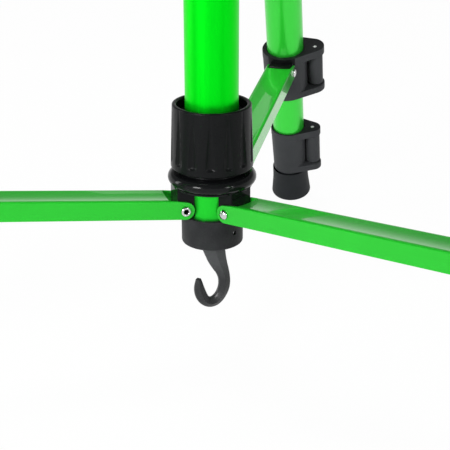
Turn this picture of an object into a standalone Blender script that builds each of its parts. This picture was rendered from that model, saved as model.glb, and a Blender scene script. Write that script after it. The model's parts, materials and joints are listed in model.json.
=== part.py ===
"""Folding tripod with a sliding spreader, telescopic flip-lock legs and an elevating column.

Metres, +Z up. The centre axis is Z, the floor is z = 0 and the first leg points along +Y.
"""

from math import asin, cos, hypot, pi, radians, sin

import bmesh
import bpy
from mathutils import Matrix, Vector

# Stance: three legs, each held by one spreader arm between the hub and its upper clamp
LEG_COUNT = 3
FIRST_LEG_AZIMUTH = radians(90)
LEG_SPLAY = radians(18.4)
ARM_SLOPE = radians(6.1)
ARM_LENGTH = 0.1836
LEG_OFFSET = 0.0190
LEG_HINGE_RADIUS = 0.042

# Fits
CLEARANCE = 0.0003
SLIDE_GAP = 0.0004

# Centre tube and elevating column
TUBE_RADIUS = 0.014
TUBE_WALL = 0.0012
COLUMN_WALL = 0.0012
COLUMN_LENGTH = 0.330

# Spreader hub, heights above its arm pivots
HUB_PIVOT_RADIUS = 0.0171
HUB_LUG_OVERHANG = 0.0039
HUB_LUG_DROP = 0.0046
HUB_LIP_RADIUS = 0.0215
HUB_LIP_HEIGHT = 0.0010
FLANGE_BASE = 0.0108
FLANGE_RADIUS = 0.0236
FLANGE_HEIGHT = 0.0078
NECK_WALL = 0.0027
NECK_REVEAL = 0.0026

# Twist-lock collar and the split collet that it squeezes onto the tube
COLLAR_HEIGHT = 0.0341
COLLAR_TOP_RADIUS = 0.0208
COLLAR_BOTTOM_RADIUS = 0.0219
COLLAR_RIM_WALL = 0.00235
COLLAR_RIM_DEPTH = 0.0090
COLLAR_EDGE = 0.0010
FLUTE_COUNT = 14
FLUTE_DEPTH = 0.0012
FLUTE_TOP_BAND = 0.0075
FLUTE_BOTTOM_BAND = 0.0035
FLUTE_PHASE = radians(-82)
FLUTE_START = 0.35
FLUTE_SHARES = (0, 0.2, 0.85, 1)
COLLET_HEIGHT = 0.0040
COLLET_SLIT = 0.0016

# End cap and weight hook
CAP_WALL = 0.0023
CAP_HEIGHT = 0.0165
CAP_FLOOR = 0.0030
CAP_FILLET = 0.0010
CAP_DROP = 0.0054
CAP_PIN_RADIUS = 0.0010
CAP_PIN_DEPTH = 0.0085
CAP_PIN_RECESS = 0.0010
CAP_PIN_AZIMUTH = radians(330)
HOOK_STUD_RADIUS = 0.0030
HOOK_THICKNESS = 0.0068
HOOK_TIP_THICKNESS = 0.0040
HOOK_TIP_STATIONS = 4
HOOK_RIDGE = 0.24
# Middle of the hook from the cap down round the bowl: distance across, depth and width
HOOK_LINE = (
    (-0.0006, 0.0000, 0.0138), (0.0012, 0.0065, 0.0120), (0.0024, 0.0110, 0.0107),
    (0.0040, 0.0154, 0.0090), (0.0054, 0.0188, 0.0077), (0.0065, 0.0230, 0.0068),
    (0.0067, 0.0268, 0.0066), (0.0062, 0.0299, 0.0065), (0.0051, 0.0326, 0.0063),
    (0.0034, 0.0352, 0.0062), (0.0010, 0.0371, 0.0061), (-0.0017, 0.0376, 0.0058),
    (-0.0041, 0.0364, 0.0060), (-0.0059, 0.0342, 0.0065), (-0.0071, 0.0313, 0.0065),
    (-0.0078, 0.0280, 0.0057), (-0.0080, 0.0250, 0.0043), (-0.0081, 0.0226, 0.0028),
)

# Spreader arms: pressed channels that open downwards
ARM_WIDTH = 0.0185
ARM_DEPTH = 0.0104
ARM_SHEET = 0.0012
ARM_PIVOT_DEPTH = 0.0056
ARM_BEND = 0.0016
HUB_WEB_SETBACK = 0.0094
LEG_WEB_SETBACK = 0.0082
RIVET_RADIUS = 0.0020
RIVET_HEAD_RADIUS = 0.0027
RIVET_HEAD_HEIGHT = 0.0015
RIVET_ROLL_RADIUS = 0.0023
RIVET_ROLL_HEIGHT = 0.00105
RIVET_BORE = 0.0013

# Leg tubes, positions along the leg measured from the arm pivot, up is positive
UPPER_TUBE_RADIUS = 0.0127
LEG_WALL = 0.00105
MIDDLE_TUBE_INSET = 0.0414
LOWER_TUBE_INSET = 0.0400
HEAD_NECK = 0.0220

# Flip-lock clamps
UPPER_CLAMP_TOP = 0.0080
UPPER_CLAMP_HEIGHT = 0.0354
UPPER_CLAMP_WALL = 0.0031
UPPER_PIN_TURN = radians(10.6)
UPPER_EAR_TURN = radians(16)
UPPER_EAR_RADIUS = 0.0088
UPPER_EAR_INSET = 0.0023
LOWER_CLAMP_DROP = 0.0671
LOWER_CLAMP_HEIGHT = 0.0363
LOWER_CLAMP_WALL = 0.0014
LOWER_PIN_TURN = radians(3.1)
LOWER_EAR_TURN = radians(3.1)
LOWER_EAR_RADIUS = 0.0059
LOWER_EAR_INSET = 0.0
CLAMP_TAPER = 0.0008
CLAMP_EDGE = 0.0008
CLAMP_GRIP = 0.0180
CLAMP_SLIT = 0.0012
TOP_EAR = 0.0048
BOTTOM_EAR = 0.0052
PIN_STANDOFF = 0.00466
BARREL_RADIUS = 0.0046
BARREL_ROOM = 0.0010
LEVER_PIN_RADIUS = 0.0015
LEVER_PLATE = 0.0026
LEVER_INSET = 0.0020
LEVER_WRAP = radians(58)

# Feet
FOOT_GAP = 0.0006
FOOT_HEIGHT = 0.0234
FOOT_TOP_RADIUS = 0.0130
FOOT_WAIST_RADIUS = 0.0132
FOOT_WAIST_HEIGHT = 0.0140
FOOT_BOTTOM_RADIUS = 0.0147
FOOT_SOCKET = 0.0145
FOOT_EDGE = 0.0012

# Crown, leg hinges and column lock
CROWN_WALL = 0.0052
CROWN_SKIRT = 0.0220
CROWN_TOP = 0.0140
CROWN_LIP = 0.0036
CLEVIS_CHEEK = 0.0040
CLEVIS_RADIUS = 0.0080
TONGUE_WIDTH = 0.0150
TONGUE_REACH = 0.0088
HINGE_PIN_RADIUS = 0.0023
SADDLE_FLARE = radians(14)
SADDLE_DIRECTION = radians(137)
HEAD_CAP_RADIUS = 0.0134
HEAD_CAP_HEIGHT = 0.0060
HEAD_PLUG = 0.0240
LOCK_AZIMUTH = radians(270)
LOCK_BOSS_RADIUS = 0.0072
LOCK_BOSS_REACH = 0.0270
LOCK_SCREW_RADIUS = 0.0030
KNOB_RADIUS = 0.0130
KNOB_LOBE = 0.0016
KNOB_LOBES = 6
KNOB_HEIGHT = 0.0120

# Instrument platform
PLATFORM_RADIUS = 0.0280
PLATFORM_HEIGHT = 0.0070
PLATFORM_PLUG = 0.0140
PAD_HEIGHT = 0.0020
PAD_BORE = 0.0070
PAD_MARGIN = 0.0012
STUD_RADIUS = 0.003175
STUD_RISE = 0.0055
STUD_HEAD_RADIUS = 0.0058
STUD_HEAD_HEIGHT = 0.0035
STUD_CHAMFER = 0.0006

# Facets
TUBE_SIDES = 18
RING_SIDES = 24
SMALL_SIDES = 10
ARC_STEPS = 5
FLUTE_STEPS = 3

# Sizes that follow from the ones above
TUBE_BORE = TUBE_RADIUS - TUBE_WALL
COLUMN_RADIUS = TUBE_BORE - SLIDE_GAP
HUB_BORE = TUBE_RADIUS + CLEARANCE
NECK_RADIUS = HUB_BORE + NECK_WALL
CAP_RADIUS = HUB_BORE + CAP_WALL
CHANNEL_WIDTH = ARM_WIDTH - 2 * ARM_SHEET
LUG_WIDTH = CHANNEL_WIDTH - 2 * CLEARANCE
EAR_DROP = ARM_DEPTH - ARM_PIVOT_DEPTH
COLLAR_BASE = FLANGE_BASE + FLANGE_HEIGHT + NECK_REVEAL
COLLAR_BORE = NECK_RADIUS + CLEARANCE
COLLAR_RIM_BORE = COLLAR_TOP_RADIUS - COLLAR_RIM_WALL
NECK_TOP = COLLAR_BASE + COLLAR_HEIGHT - COLLAR_RIM_DEPTH
MIDDLE_TUBE_RADIUS = UPPER_TUBE_RADIUS - LEG_WALL - SLIDE_GAP
LOWER_TUBE_RADIUS = MIDDLE_TUBE_RADIUS - LEG_WALL - SLIDE_GAP
LOWER_CLAMP_TOP = UPPER_CLAMP_TOP - LOWER_CLAMP_DROP
FOOT_TOP = LOWER_CLAMP_TOP - LOWER_CLAMP_HEIGHT - FOOT_GAP
LEG_PIVOT_RADIUS = HUB_PIVOT_RADIUS + ARM_LENGTH * cos(ARM_SLOPE)
LEG_AXIS_RADIUS = LEG_PIVOT_RADIUS + LEG_OFFSET * cos(LEG_SPLAY)
LEG_RISE = (LEG_AXIS_RADIUS - LEG_HINGE_RADIUS) / sin(LEG_SPLAY)
MIDDLE_TUBE_TOP = LEG_RISE - HEAD_NECK - HEAD_PLUG - MIDDLE_TUBE_INSET
LOWER_TUBE_TOP = MIDDLE_TUBE_TOP - LOWER_TUBE_INSET
UPPER_RING = UPPER_TUBE_RADIUS + CLEARANCE + UPPER_CLAMP_WALL
LOWER_RING = MIDDLE_TUBE_RADIUS + CLEARANCE + LOWER_CLAMP_WALL
CLEVIS_GAP = TONGUE_WIDTH + 2 * CLEARANCE
CROWN_RADIUS = HUB_BORE + CROWN_WALL


def arc(centre_x, centre_y, radius, start, end, steps=ARC_STEPS):
    """Points on a circle from one angle to another, both ends included."""
    turns = [start + (end - start) * step / steps for step in range(steps + 1)]
    return [(centre_x + radius * cos(turn), centre_y + radius * sin(turn)) for turn in turns]


def closed_up(shape):
    """Merge doubled points and turn every face outwards."""
    bmesh.ops.remove_doubles(shape, verts=shape.verts, dist=1e-7)
    bmesh.ops.recalc_face_normals(shape, faces=shape.faces)
    return shape


def turned(profile, sides=TUBE_SIDES, ring=True):
    """Spin (radius, height) points about Z: a closed ring, or a solid whose ends meet the axis."""
    shape = bmesh.new()
    verts = [shape.verts.new((radius, 0, height)) for radius, height in profile]
    pairs = list(zip(verts, verts[1:] + verts[:1]))
    for first, second in pairs if ring else pairs[:-1]:
        shape.edges.new((first, second))
    bmesh.ops.spin(shape, geom=shape.verts[:] + shape.edges[:], cent=(0, 0, 0), axis=(0, 0, 1),
                   angle=2 * pi, steps=sides, use_merge=True)
    return closed_up(shape)


def pipe(radius, bore, low, high, sides=TUBE_SIDES):
    """A straight tube along Z."""
    return turned([(radius, high), (radius, low), (bore, low), (bore, high)], sides)


def rod(radius, low, high, sides=TUBE_SIDES):
    """A straight solid bar along Z."""
    return turned([(0, high), (radius, high), (radius, low), (0, low)], sides, ring=False)


def extruded(outline, low, high):
    """A plate with an (x, y) outline between two heights."""
    shape = bmesh.new()
    face = shape.faces.new([shape.verts.new((x, y, low)) for x, y in outline])
    top = bmesh.ops.extrude_face_region(shape, geom=[face])["geom"]
    rise = Vector((0, 0, high - low))
    bmesh.ops.translate(shape, verts=[item for item in top if isinstance(item, bmesh.types.BMVert)], vec=rise)
    return closed_up(shape)


def block(low, high):
    """A box between two corners."""
    outline = [(low[0], low[1]), (high[0], low[1]), (high[0], high[1]), (low[0], high[1])]
    return extruded(outline, low[2], high[2])


def moved(shape, matrix):
    """The same shape after a move or a turn."""
    bmesh.ops.transform(shape, matrix=matrix, verts=shape.verts)
    return shape


def upright_plate(outline, width):
    """A plate whose outline lies in the XZ plane, centred on Y."""
    return moved(extruded(outline, -width / 2, width / 2), Matrix.Rotation(pi / 2, 4, "X"))


def cross_bar(radius, length, sides=SMALL_SIDES):
    """A round bar along Y, centred on the origin."""
    return moved(rod(radius, -length / 2, length / 2, sides), Matrix.Rotation(pi / 2, 4, "X"))


def temporary(shape):
    """A linked object that carries a shape while it is cut or joined."""
    mesh = bpy.data.meshes.new("temporary")
    shape.to_mesh(mesh)
    shape.free()
    carrier = bpy.data.objects.new("temporary", mesh)
    bpy.context.collection.objects.link(carrier)
    return carrier


def combined(base, tool, operation):
    """Join two shapes, or cut one with the other."""
    carriers = [temporary(base), temporary(tool)]
    boolean = carriers[0].modifiers.new("Boolean", "BOOLEAN")
    boolean.operation = operation
    boolean.object = carriers[1]
    graph = bpy.context.evaluated_depsgraph_get()
    result = bmesh.new()
    result.from_mesh(carriers[0].evaluated_get(graph).to_mesh())
    for carrier in carriers:
        mesh = carrier.data
        bpy.data.objects.remove(carrier)
        bpy.data.meshes.remove(mesh)
    return closed_up(result)


def joined(base, *others):
    """All the shapes as one solid."""
    for other in others:
        base = combined(base, other, "UNION")
    return base


def cut(base, *tools):
    """The base less every tool."""
    for tool in tools:
        base = combined(base, tool, "DIFFERENCE")
    return base


def material(name, colour, roughness, metallic=0.0):
    """A Principled material; the colour is linear RGB."""
    finish = bpy.data.materials.new(name)
    finish.use_nodes = True
    shader = finish.node_tree.nodes["Principled BSDF"]
    shader.inputs["Base Color"].default_value = (*colour, 1.0)
    shader.inputs["Roughness"].default_value = roughness
    shader.inputs["Metallic"].default_value = metallic
    return finish


def finished(name, shape, finish):
    """The mesh of one kind of piece, shaded smooth between its hard edges."""
    mesh = bpy.data.meshes.new(name)
    shape.to_mesh(mesh)
    shape.free()
    mesh.shade_smooth()
    mesh.set_sharp_from_angle(angle=radians(40))
    mesh.materials.append(finish)
    return mesh


def piece(name, mesh, parent, location=(0, 0, 0), rotation=(0, 0, 0)):
    """One named piece under its parent empty."""
    thing = bpy.data.objects.new(name, mesh)
    bpy.context.collection.objects.link(thing)
    thing.parent = parent
    thing.location = location
    thing.rotation_euler = rotation
    return thing


def empty(name, parent=None, location=(0, 0, 0), rotation=(0, 0, 0)):
    """A frame that carries the pieces of one moving body."""
    return piece(name, None, parent, location, rotation)


def centre_tube(length, pin_height, lock_height):
    """Thin tube from z = 0 with a cross hole for the cap pin and one for the column lock."""
    pin_hole = radial_hole(CAP_PIN_RADIUS + CLEARANCE, pin_height, CAP_PIN_AZIMUTH)
    lock_hole = radial_hole(LOCK_SCREW_RADIUS + CLEARANCE, lock_height, LOCK_AZIMUTH)
    return cut(pipe(TUBE_RADIUS, TUBE_BORE, 0, length, RING_SIDES), pin_hole, lock_hole)


def radial_hole(radius, height, azimuth):
    """A bar from the axis outwards at one azimuth, long enough to pierce every wall."""
    bar = moved(rod(radius, 0, LEG_HINGE_RADIUS, SMALL_SIDES), Matrix.Rotation(pi / 2, 4, "Y"))
    return moved(bar, Matrix.Translation((0, 0, height)) @ Matrix.Rotation(azimuth, 4, "Z"))


def end_cap():
    """Cup over the tube's lower end, drilled for the pin and the hook; its top is z = 0."""
    low = -CAP_HEIGHT
    corner = arc(CAP_RADIUS - CAP_FILLET, low + CAP_FILLET, CAP_FILLET, 0, -pi / 2, 3)
    floor = low + CAP_FLOOR
    stud_bore = HOOK_STUD_RADIUS + CLEARANCE
    profile = [(CAP_RADIUS, 0), *corner, (stud_bore, low), (stud_bore, floor), (HUB_BORE, floor)]
    profile.append((HUB_BORE, 0))
    pin_hole = radial_hole(CAP_PIN_RADIUS + CLEARANCE, low + CAP_PIN_DEPTH, CAP_PIN_AZIMUTH)
    return cut(turned(profile, RING_SIDES), pin_hole)


def cap_pin():
    """Cross pin along X through the tube wall, sunk a little in the cap."""
    bar = rod(CAP_PIN_RADIUS, TUBE_BORE, CAP_RADIUS - CAP_PIN_RECESS, SMALL_SIDES)
    return moved(bar, Matrix.Rotation(pi / 2, 4, "Y"))


def weight_hook():
    """Moulded hook in the XZ plane that opens towards -X, ridged on both faces, with a stud into the cap."""
    shape = bmesh.new()
    rings = []
    last = len(HOOK_LINE) - 1
    for index, (across, depth, width) in enumerate(HOOK_LINE):
        before, after = HOOK_LINE[max(0, index - 1)], HOOK_LINE[min(last, index + 1)]
        lean = after[0] - before[0] if index else 0.0
        travel = Vector((lean, 0, before[1] - after[1])).normalized()
        side = Vector((-travel.z, 0, travel.x)) * width
        full = min(1.0, (last - index) / HOOK_TIP_STATIONS)
        thick = Vector((0, HOOK_TIP_THICKNESS + (HOOK_THICKNESS - HOOK_TIP_THICKNESS) * full, 0))
        centre = Vector((across, 0, -depth))
        half = [(0.5, HOOK_RIDGE), (0, 0.5), (-0.5, HOOK_RIDGE)]
        corners = half + [(-a, -b) for a, b in half]
        rings.append([shape.verts.new(centre + side * a + thick * b) for a, b in corners])
    for first, second in zip(rings, rings[1:]):
        for here in range(len(first)):
            after = (here + 1) % len(first)
            shape.faces.new((first[here], first[after], second[after], second[here]))
    shape.faces.new(rings[0])
    shape.faces.new(rings[-1])
    stud = rod(HOOK_STUD_RADIUS, -HOOK_STUD_RADIUS, CAP_FLOOR, SMALL_SIDES)
    return joined(closed_up(shape), stud)


def spreader_hub():
    """Ring that slides on the tube: flange, threaded neck and a lug for each arm; pivots at z = 0."""
    flange_top = FLANGE_BASE + FLANGE_HEIGHT
    belly = FLANGE_HEIGHT / 2 - HUB_LIP_HEIGHT / 2
    belly_height = FLANGE_BASE + HUB_LIP_HEIGHT + belly
    rim = [(FLANGE_RADIUS - belly + belly * cos(turn), belly_height + belly * sin(turn))
           for turn in (pi * (0.5 - step / 5) for step in range(6))]
    neck_top = NECK_TOP - CLEARANCE
    profile = [(0, neck_top), (NECK_RADIUS, neck_top), (NECK_RADIUS, flange_top), *rim]
    profile += [(HUB_LIP_RADIUS, FLANGE_BASE + HUB_LIP_HEIGHT), (HUB_LIP_RADIUS, FLANGE_BASE)]
    profile.append((0, FLANGE_BASE))
    body = turned(profile, RING_SIDES, ring=False)
    for leg in range(LEG_COUNT):
        around = Matrix.Rotation(leg_azimuth(leg), 4, "Z")
        end = HUB_PIVOT_RADIUS + HUB_LUG_OVERHANG
        lug = block((0, -LUG_WIDTH / 2, -HUB_LUG_DROP), (end, LUG_WIDTH / 2, FLANGE_BASE + FLANGE_HEIGHT / 2))
        body = joined(body, moved(lug, around))
    body = cut(body, rod(HUB_BORE, -2 * HUB_LUG_DROP, 2 * NECK_TOP, RING_SIDES))
    for leg in range(LEG_COUNT):
        around = Matrix.Rotation(leg_azimuth(leg), 4, "Z") @ Matrix.Translation((HUB_PIVOT_RADIUS, 0, 0))
        body = cut(body, moved(cross_bar(RIVET_RADIUS + CLEARANCE, ARM_WIDTH), around))
    return body


def collet():
    """Split ring that the collar squeezes onto the tube, standing on the hub's neck."""
    ring = pipe(COLLAR_RIM_BORE - CLEARANCE, HUB_BORE, NECK_TOP, NECK_TOP + COLLET_HEIGHT, RING_SIDES)
    slit = block((0, -COLLET_SLIT / 2, 0), (COLLAR_TOP_RADIUS, COLLET_SLIT / 2, NECK_TOP + 2 * COLLET_HEIGHT))
    return cut(ring, moved(slit, Matrix.Rotation(FLUTE_PHASE, 4, "Z")))


def lock_collar():
    """Twist-lock collar: flared, fluted below a plain band, with an open rim round the tube."""
    top = COLLAR_BASE + COLLAR_HEIGHT
    fluted = COLLAR_HEIGHT - FLUTE_TOP_BAND - FLUTE_BOTTOM_BAND
    levels = [FLUTE_TOP_BAND + fluted * share for share in FLUTE_SHARES]

    def skin(drop):
        return COLLAR_TOP_RADIUS + (COLLAR_BOTTOM_RADIUS - COLLAR_TOP_RADIUS) * drop / COLLAR_HEIGHT

    profile = [(COLLAR_TOP_RADIUS - COLLAR_EDGE, top), (COLLAR_TOP_RADIUS, top - COLLAR_EDGE)]
    profile += [(skin(drop), top - drop) for drop in levels]
    profile += [(COLLAR_BOTTOM_RADIUS, COLLAR_BASE + COLLAR_EDGE)]
    profile += [(COLLAR_BOTTOM_RADIUS - COLLAR_EDGE, COLLAR_BASE)]
    profile += [(COLLAR_BORE, COLLAR_BASE), (COLLAR_BORE, NECK_TOP - CLEARANCE)]
    profile += [(COLLAR_RIM_BORE, NECK_TOP - CLEARANCE), (COLLAR_RIM_BORE, top)]
    body = moved(turned(profile, FLUTE_COUNT * FLUTE_STEPS), Matrix.Rotation(FLUTE_PHASE, 4, "Z"))
    for vert in body.verts:
        drop = top - vert.co.z
        radius = hypot(vert.co.x, vert.co.y)
        within = (drop - FLUTE_TOP_BAND) / fluted
        if radius > COLLAR_RIM_BORE + COLLAR_RIM_WALL / 2 and CLEARANCE < within < 1 - CLEARANCE:
            azimuth = Vector((vert.co.x, vert.co.y)).angle_signed(Vector((1, 0)))
            wave = max(0.0, cos(FLUTE_COUNT * (azimuth - FLUTE_PHASE)))
            depth = FLUTE_DEPTH * wave * min(1.0, FLUTE_START + within)
            vert.co.x *= 1 - depth / radius
            vert.co.y *= 1 - depth / radius
    return body


def spreader_arm():
    """Pressed channel along X from its hub pivot, with rounded ears past both ends of its web."""
    top = ARM_PIVOT_DEPTH
    outline = arc(ARM_LENGTH, 0, EAR_DROP, -pi / 2, pi / 2)
    outline += [(ARM_LENGTH - LEG_WEB_SETBACK, top), (HUB_WEB_SETBACK, top)]
    outline += arc(0, 0, EAR_DROP, pi / 2, 3 * pi / 2)
    body = upright_plate(outline, ARM_WIDTH)
    bends = [edge for edge in body.edges
             if all(abs(vert.co.z - top) < 1e-6 for vert in edge.verts)
             and abs(edge.verts[0].co.y - edge.verts[1].co.y) < 1e-6]
    bmesh.ops.bevel(body, geom=bends, offset=ARM_BEND, segments=2, affect="EDGES", profile=0.5, material=-1)
    half = CHANNEL_WIDTH / 2
    past = ARM_LENGTH + 2 * EAR_DROP
    channel = block((-2 * EAR_DROP, -half, -2 * EAR_DROP), (past, half, top - ARM_SHEET))
    hub_notch = block((-2 * EAR_DROP, -half, 0), (HUB_WEB_SETBACK, half, 2 * top))
    leg_notch = block((ARM_LENGTH - LEG_WEB_SETBACK, -half, 0), (past, half, 2 * top))
    body = cut(body, channel, hub_notch, leg_notch)
    for pivot in (0, ARM_LENGTH):
        hole = cross_bar(RIVET_RADIUS + CLEARANCE, 2 * ARM_WIDTH)
        body = cut(body, moved(hole, Matrix.Translation((pivot, 0, 0))))
    return body


def rivet():
    """Semi-tubular rivet along Y: a domed head at -Y and a rolled, hollow end at +Y."""
    seat = ARM_WIDTH / 2 + CLEARANCE
    dome = [(RIVET_HEAD_RADIUS * sin(turn), seat + RIVET_HEAD_HEIGHT * cos(turn))
            for turn in (pi / 2 * step / 2 for step in range(3))]
    rolled = -seat - RIVET_ROLL_HEIGHT
    bottom = -seat + RIVET_RADIUS
    roll = [(RIVET_HEAD_RADIUS, -seat), (RIVET_ROLL_RADIUS, rolled)]
    hollow = [(RIVET_BORE, rolled), (RIVET_BORE, bottom), (0, bottom)]
    profile = [*dome, (RIVET_RADIUS, seat), (RIVET_RADIUS, -seat), *roll, *hollow]
    return moved(turned(profile, SMALL_SIDES, ring=False), Matrix.Rotation(pi / 2, 4, "X"))


def ear_outline(ring_radius, reach, radius):
    """Boss towards -Y, with straight sides that run tangent to the clamp ring."""
    side = asin((ring_radius - radius) / reach)
    flank = (ring_radius * cos(side), -ring_radius * sin(side))
    boss = arc(0, -reach, radius, -side, side - pi)
    return [flank, *boss, (-flank[0], flank[1])]


def clamp_body(outer_tube, inner_tube, ring_radius, height, ear, pin_turn):
    """Flip-lock clamp, top at z = 0: grips the inner tube below the end of the outer one."""
    pin_reach = ring_radius + PIN_STANDOFF
    low_radius = ring_radius - CLAMP_TAPER
    profile = [(0, 0), (ring_radius - CLAMP_EDGE, 0), (ring_radius, -CLAMP_EDGE)]
    profile += [(low_radius, -height + CLAMP_EDGE), (low_radius - CLAMP_EDGE, -height), (0, -height)]
    body = turned(profile, TUBE_SIDES, ring=False)
    ear_radius, ear_inset, ear_turn = ear
    outline = ear_outline(low_radius, pin_reach - ear_inset, ear_radius)
    for low, high in ((-TOP_EAR, -CLEARANCE), (-height + CLEARANCE, -height + BOTTOM_EAR)):
        body = joined(body, moved(extruded(outline, low, high), Matrix.Rotation(ear_turn, 4, "Z")))
    if ring_radius == UPPER_RING:
        body = joined(body, arm_boss())
        hole = cross_bar(RIVET_RADIUS + CLEARANCE, ARM_WIDTH)
        body = cut(body, moved(hole, Matrix.Translation((-LEG_OFFSET, 0, -UPPER_CLAMP_TOP))))
    step = -height + CLAMP_GRIP
    outer_bore = outer_tube + CLEARANCE
    inner_bore = inner_tube + CLEARANCE
    bore = turned([(0, height), (outer_bore, height), (outer_bore, step), (inner_bore, step),
                   (inner_bore, -2 * height), (0, -2 * height)], TUBE_SIDES, ring=False)
    at_pin = Matrix.Rotation(pin_turn, 4, "Z") @ Matrix.Translation((0, -pin_reach, 0))
    recess = moved(rod(BARREL_RADIUS + BARREL_ROOM, -height + BOTTOM_EAR, -TOP_EAR, SMALL_SIDES), at_pin)
    pin_hole = moved(rod(LEVER_PIN_RADIUS + CLEARANCE, -2 * height, height, SMALL_SIDES), at_pin)
    slit = block((-CLAMP_SLIT / 2, -pin_reach, -2 * height), (CLAMP_SLIT / 2, 0, step - CLAMP_EDGE))
    return cut(body, bore, recess, pin_hole, moved(slit, Matrix.Rotation(pin_turn, 4, "Z")))


def arm_boss():
    """Tongue on the inner side of the upper clamp that fits between the cheeks of an arm."""
    reach = arc(-LEG_OFFSET, 0, EAR_DROP, pi / 2, 3 * pi / 2)
    boss = upright_plate([(0, EAR_DROP), *reach, (0, -EAR_DROP)], LUG_WIDTH)
    return moved(boss, Matrix.Translation((0, 0, -UPPER_CLAMP_TOP)))


def clamp_lever(ring_radius, height):
    """Flip lever on its pin axis: a barrel between the ears and a plate wrapped round the outer side."""
    pin_reach = ring_radius + PIN_STANDOFF
    inner = ring_radius + CLEARANCE
    low = -height + BOTTOM_EAR + CLEARANCE
    high = -TOP_EAR - CLEARANCE
    barrel = rod(BARREL_RADIUS, low, high)
    start = -pi / 2
    tip_radius = LEVER_PLATE / 2
    tip_middle = inner + tip_radius
    tip_spot = (tip_middle * cos(LEVER_WRAP), tip_middle * sin(LEVER_WRAP))
    tip = arc(*tip_spot, tip_radius, LEVER_WRAP, LEVER_WRAP + pi, 3)
    outline = arc(0, 0, inner + LEVER_PLATE, start, LEVER_WRAP, 2 * ARC_STEPS)
    outline += tip[1:-1] + arc(0, 0, inner, LEVER_WRAP, start, 2 * ARC_STEPS)
    plate = extruded(outline, low + LEVER_INSET, high - LEVER_INSET)
    plate = moved(plate, Matrix.Translation((0, pin_reach, 0)))
    pin_hole = rod(LEVER_PIN_RADIUS + CLEARANCE, 2 * low, height, SMALL_SIDES)
    return cut(joined(barrel, plate), pin_hole)


def pin_spot(ring_radius, turn, top):
    """Place of a lever pin's upper end in its leg's frame."""
    reach = ring_radius + PIN_STANDOFF
    return (LEG_OFFSET + reach * sin(turn), -reach * cos(turn), top)


def foot():
    """Flared rubber foot, top at z = 0, with a socket for the lowest tube."""
    socket = LOWER_TUBE_RADIUS + CLEARANCE
    return turned([(FOOT_TOP_RADIUS - FOOT_EDGE, 0), *foot_skin(), (0, -FOOT_HEIGHT), (0, -FOOT_SOCKET),
                   (socket, -FOOT_SOCKET), (socket, 0)], TUBE_SIDES)


def foot_skin():
    """Outer profile of the foot from its top edge to its tread."""
    low = -FOOT_HEIGHT
    waist = (FOOT_WAIST_RADIUS, low + FOOT_WAIST_HEIGHT)
    tread = (FOOT_BOTTOM_RADIUS - FOOT_EDGE, low)
    return [(FOOT_TOP_RADIUS, -FOOT_EDGE), waist, (FOOT_BOTTOM_RADIUS, low + FOOT_EDGE), tread]


def leg_head():
    """Plug in the top of a leg with a tongue on the hinge axis, open inwards and upwards round its pin."""
    shoulder = -HEAD_NECK
    plug_radius = UPPER_TUBE_RADIUS - LEG_WALL - CLEARANCE
    profile = [(0, shoulder + HEAD_CAP_HEIGHT), (HEAD_CAP_RADIUS - CLAMP_EDGE, shoulder + HEAD_CAP_HEIGHT)]
    profile += [(HEAD_CAP_RADIUS, shoulder + HEAD_CAP_HEIGHT - CLAMP_EDGE), (HEAD_CAP_RADIUS, shoulder)]
    profile += [(plug_radius, shoulder), (plug_radius, shoulder - HEAD_PLUG), (0, shoulder - HEAD_PLUG)]
    body = turned(profile, TUBE_SIDES, ring=False)
    outline = arc(0, 0, TONGUE_REACH, 0, pi)
    outline += [(-TONGUE_REACH, shoulder + CLAMP_EDGE), (TONGUE_REACH, shoulder + CLAMP_EDGE)]
    tongue = upright_plate(outline, TONGUE_WIDTH)
    seat = HINGE_PIN_RADIUS + CLEARANCE
    half = pi / 2 - SADDLE_FLARE
    cradle = arc(0, 0, seat, half, 2 * pi - half)
    mouth = 2 * TONGUE_REACH
    spread = seat + mouth * sin(SADDLE_FLARE)
    saddle = upright_plate([*cradle, (mouth, -spread), (mouth, spread)], 2 * TONGUE_WIDTH)
    return cut(joined(body, tongue), moved(saddle, Matrix.Rotation(-SADDLE_DIRECTION, 4, "Y")))


def hinge_pin():
    """Plain pin along Y through a clevis of the crown."""
    return cross_bar(HINGE_PIN_RADIUS, CLEVIS_GAP + 2 * CLEVIS_CHEEK)


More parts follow.
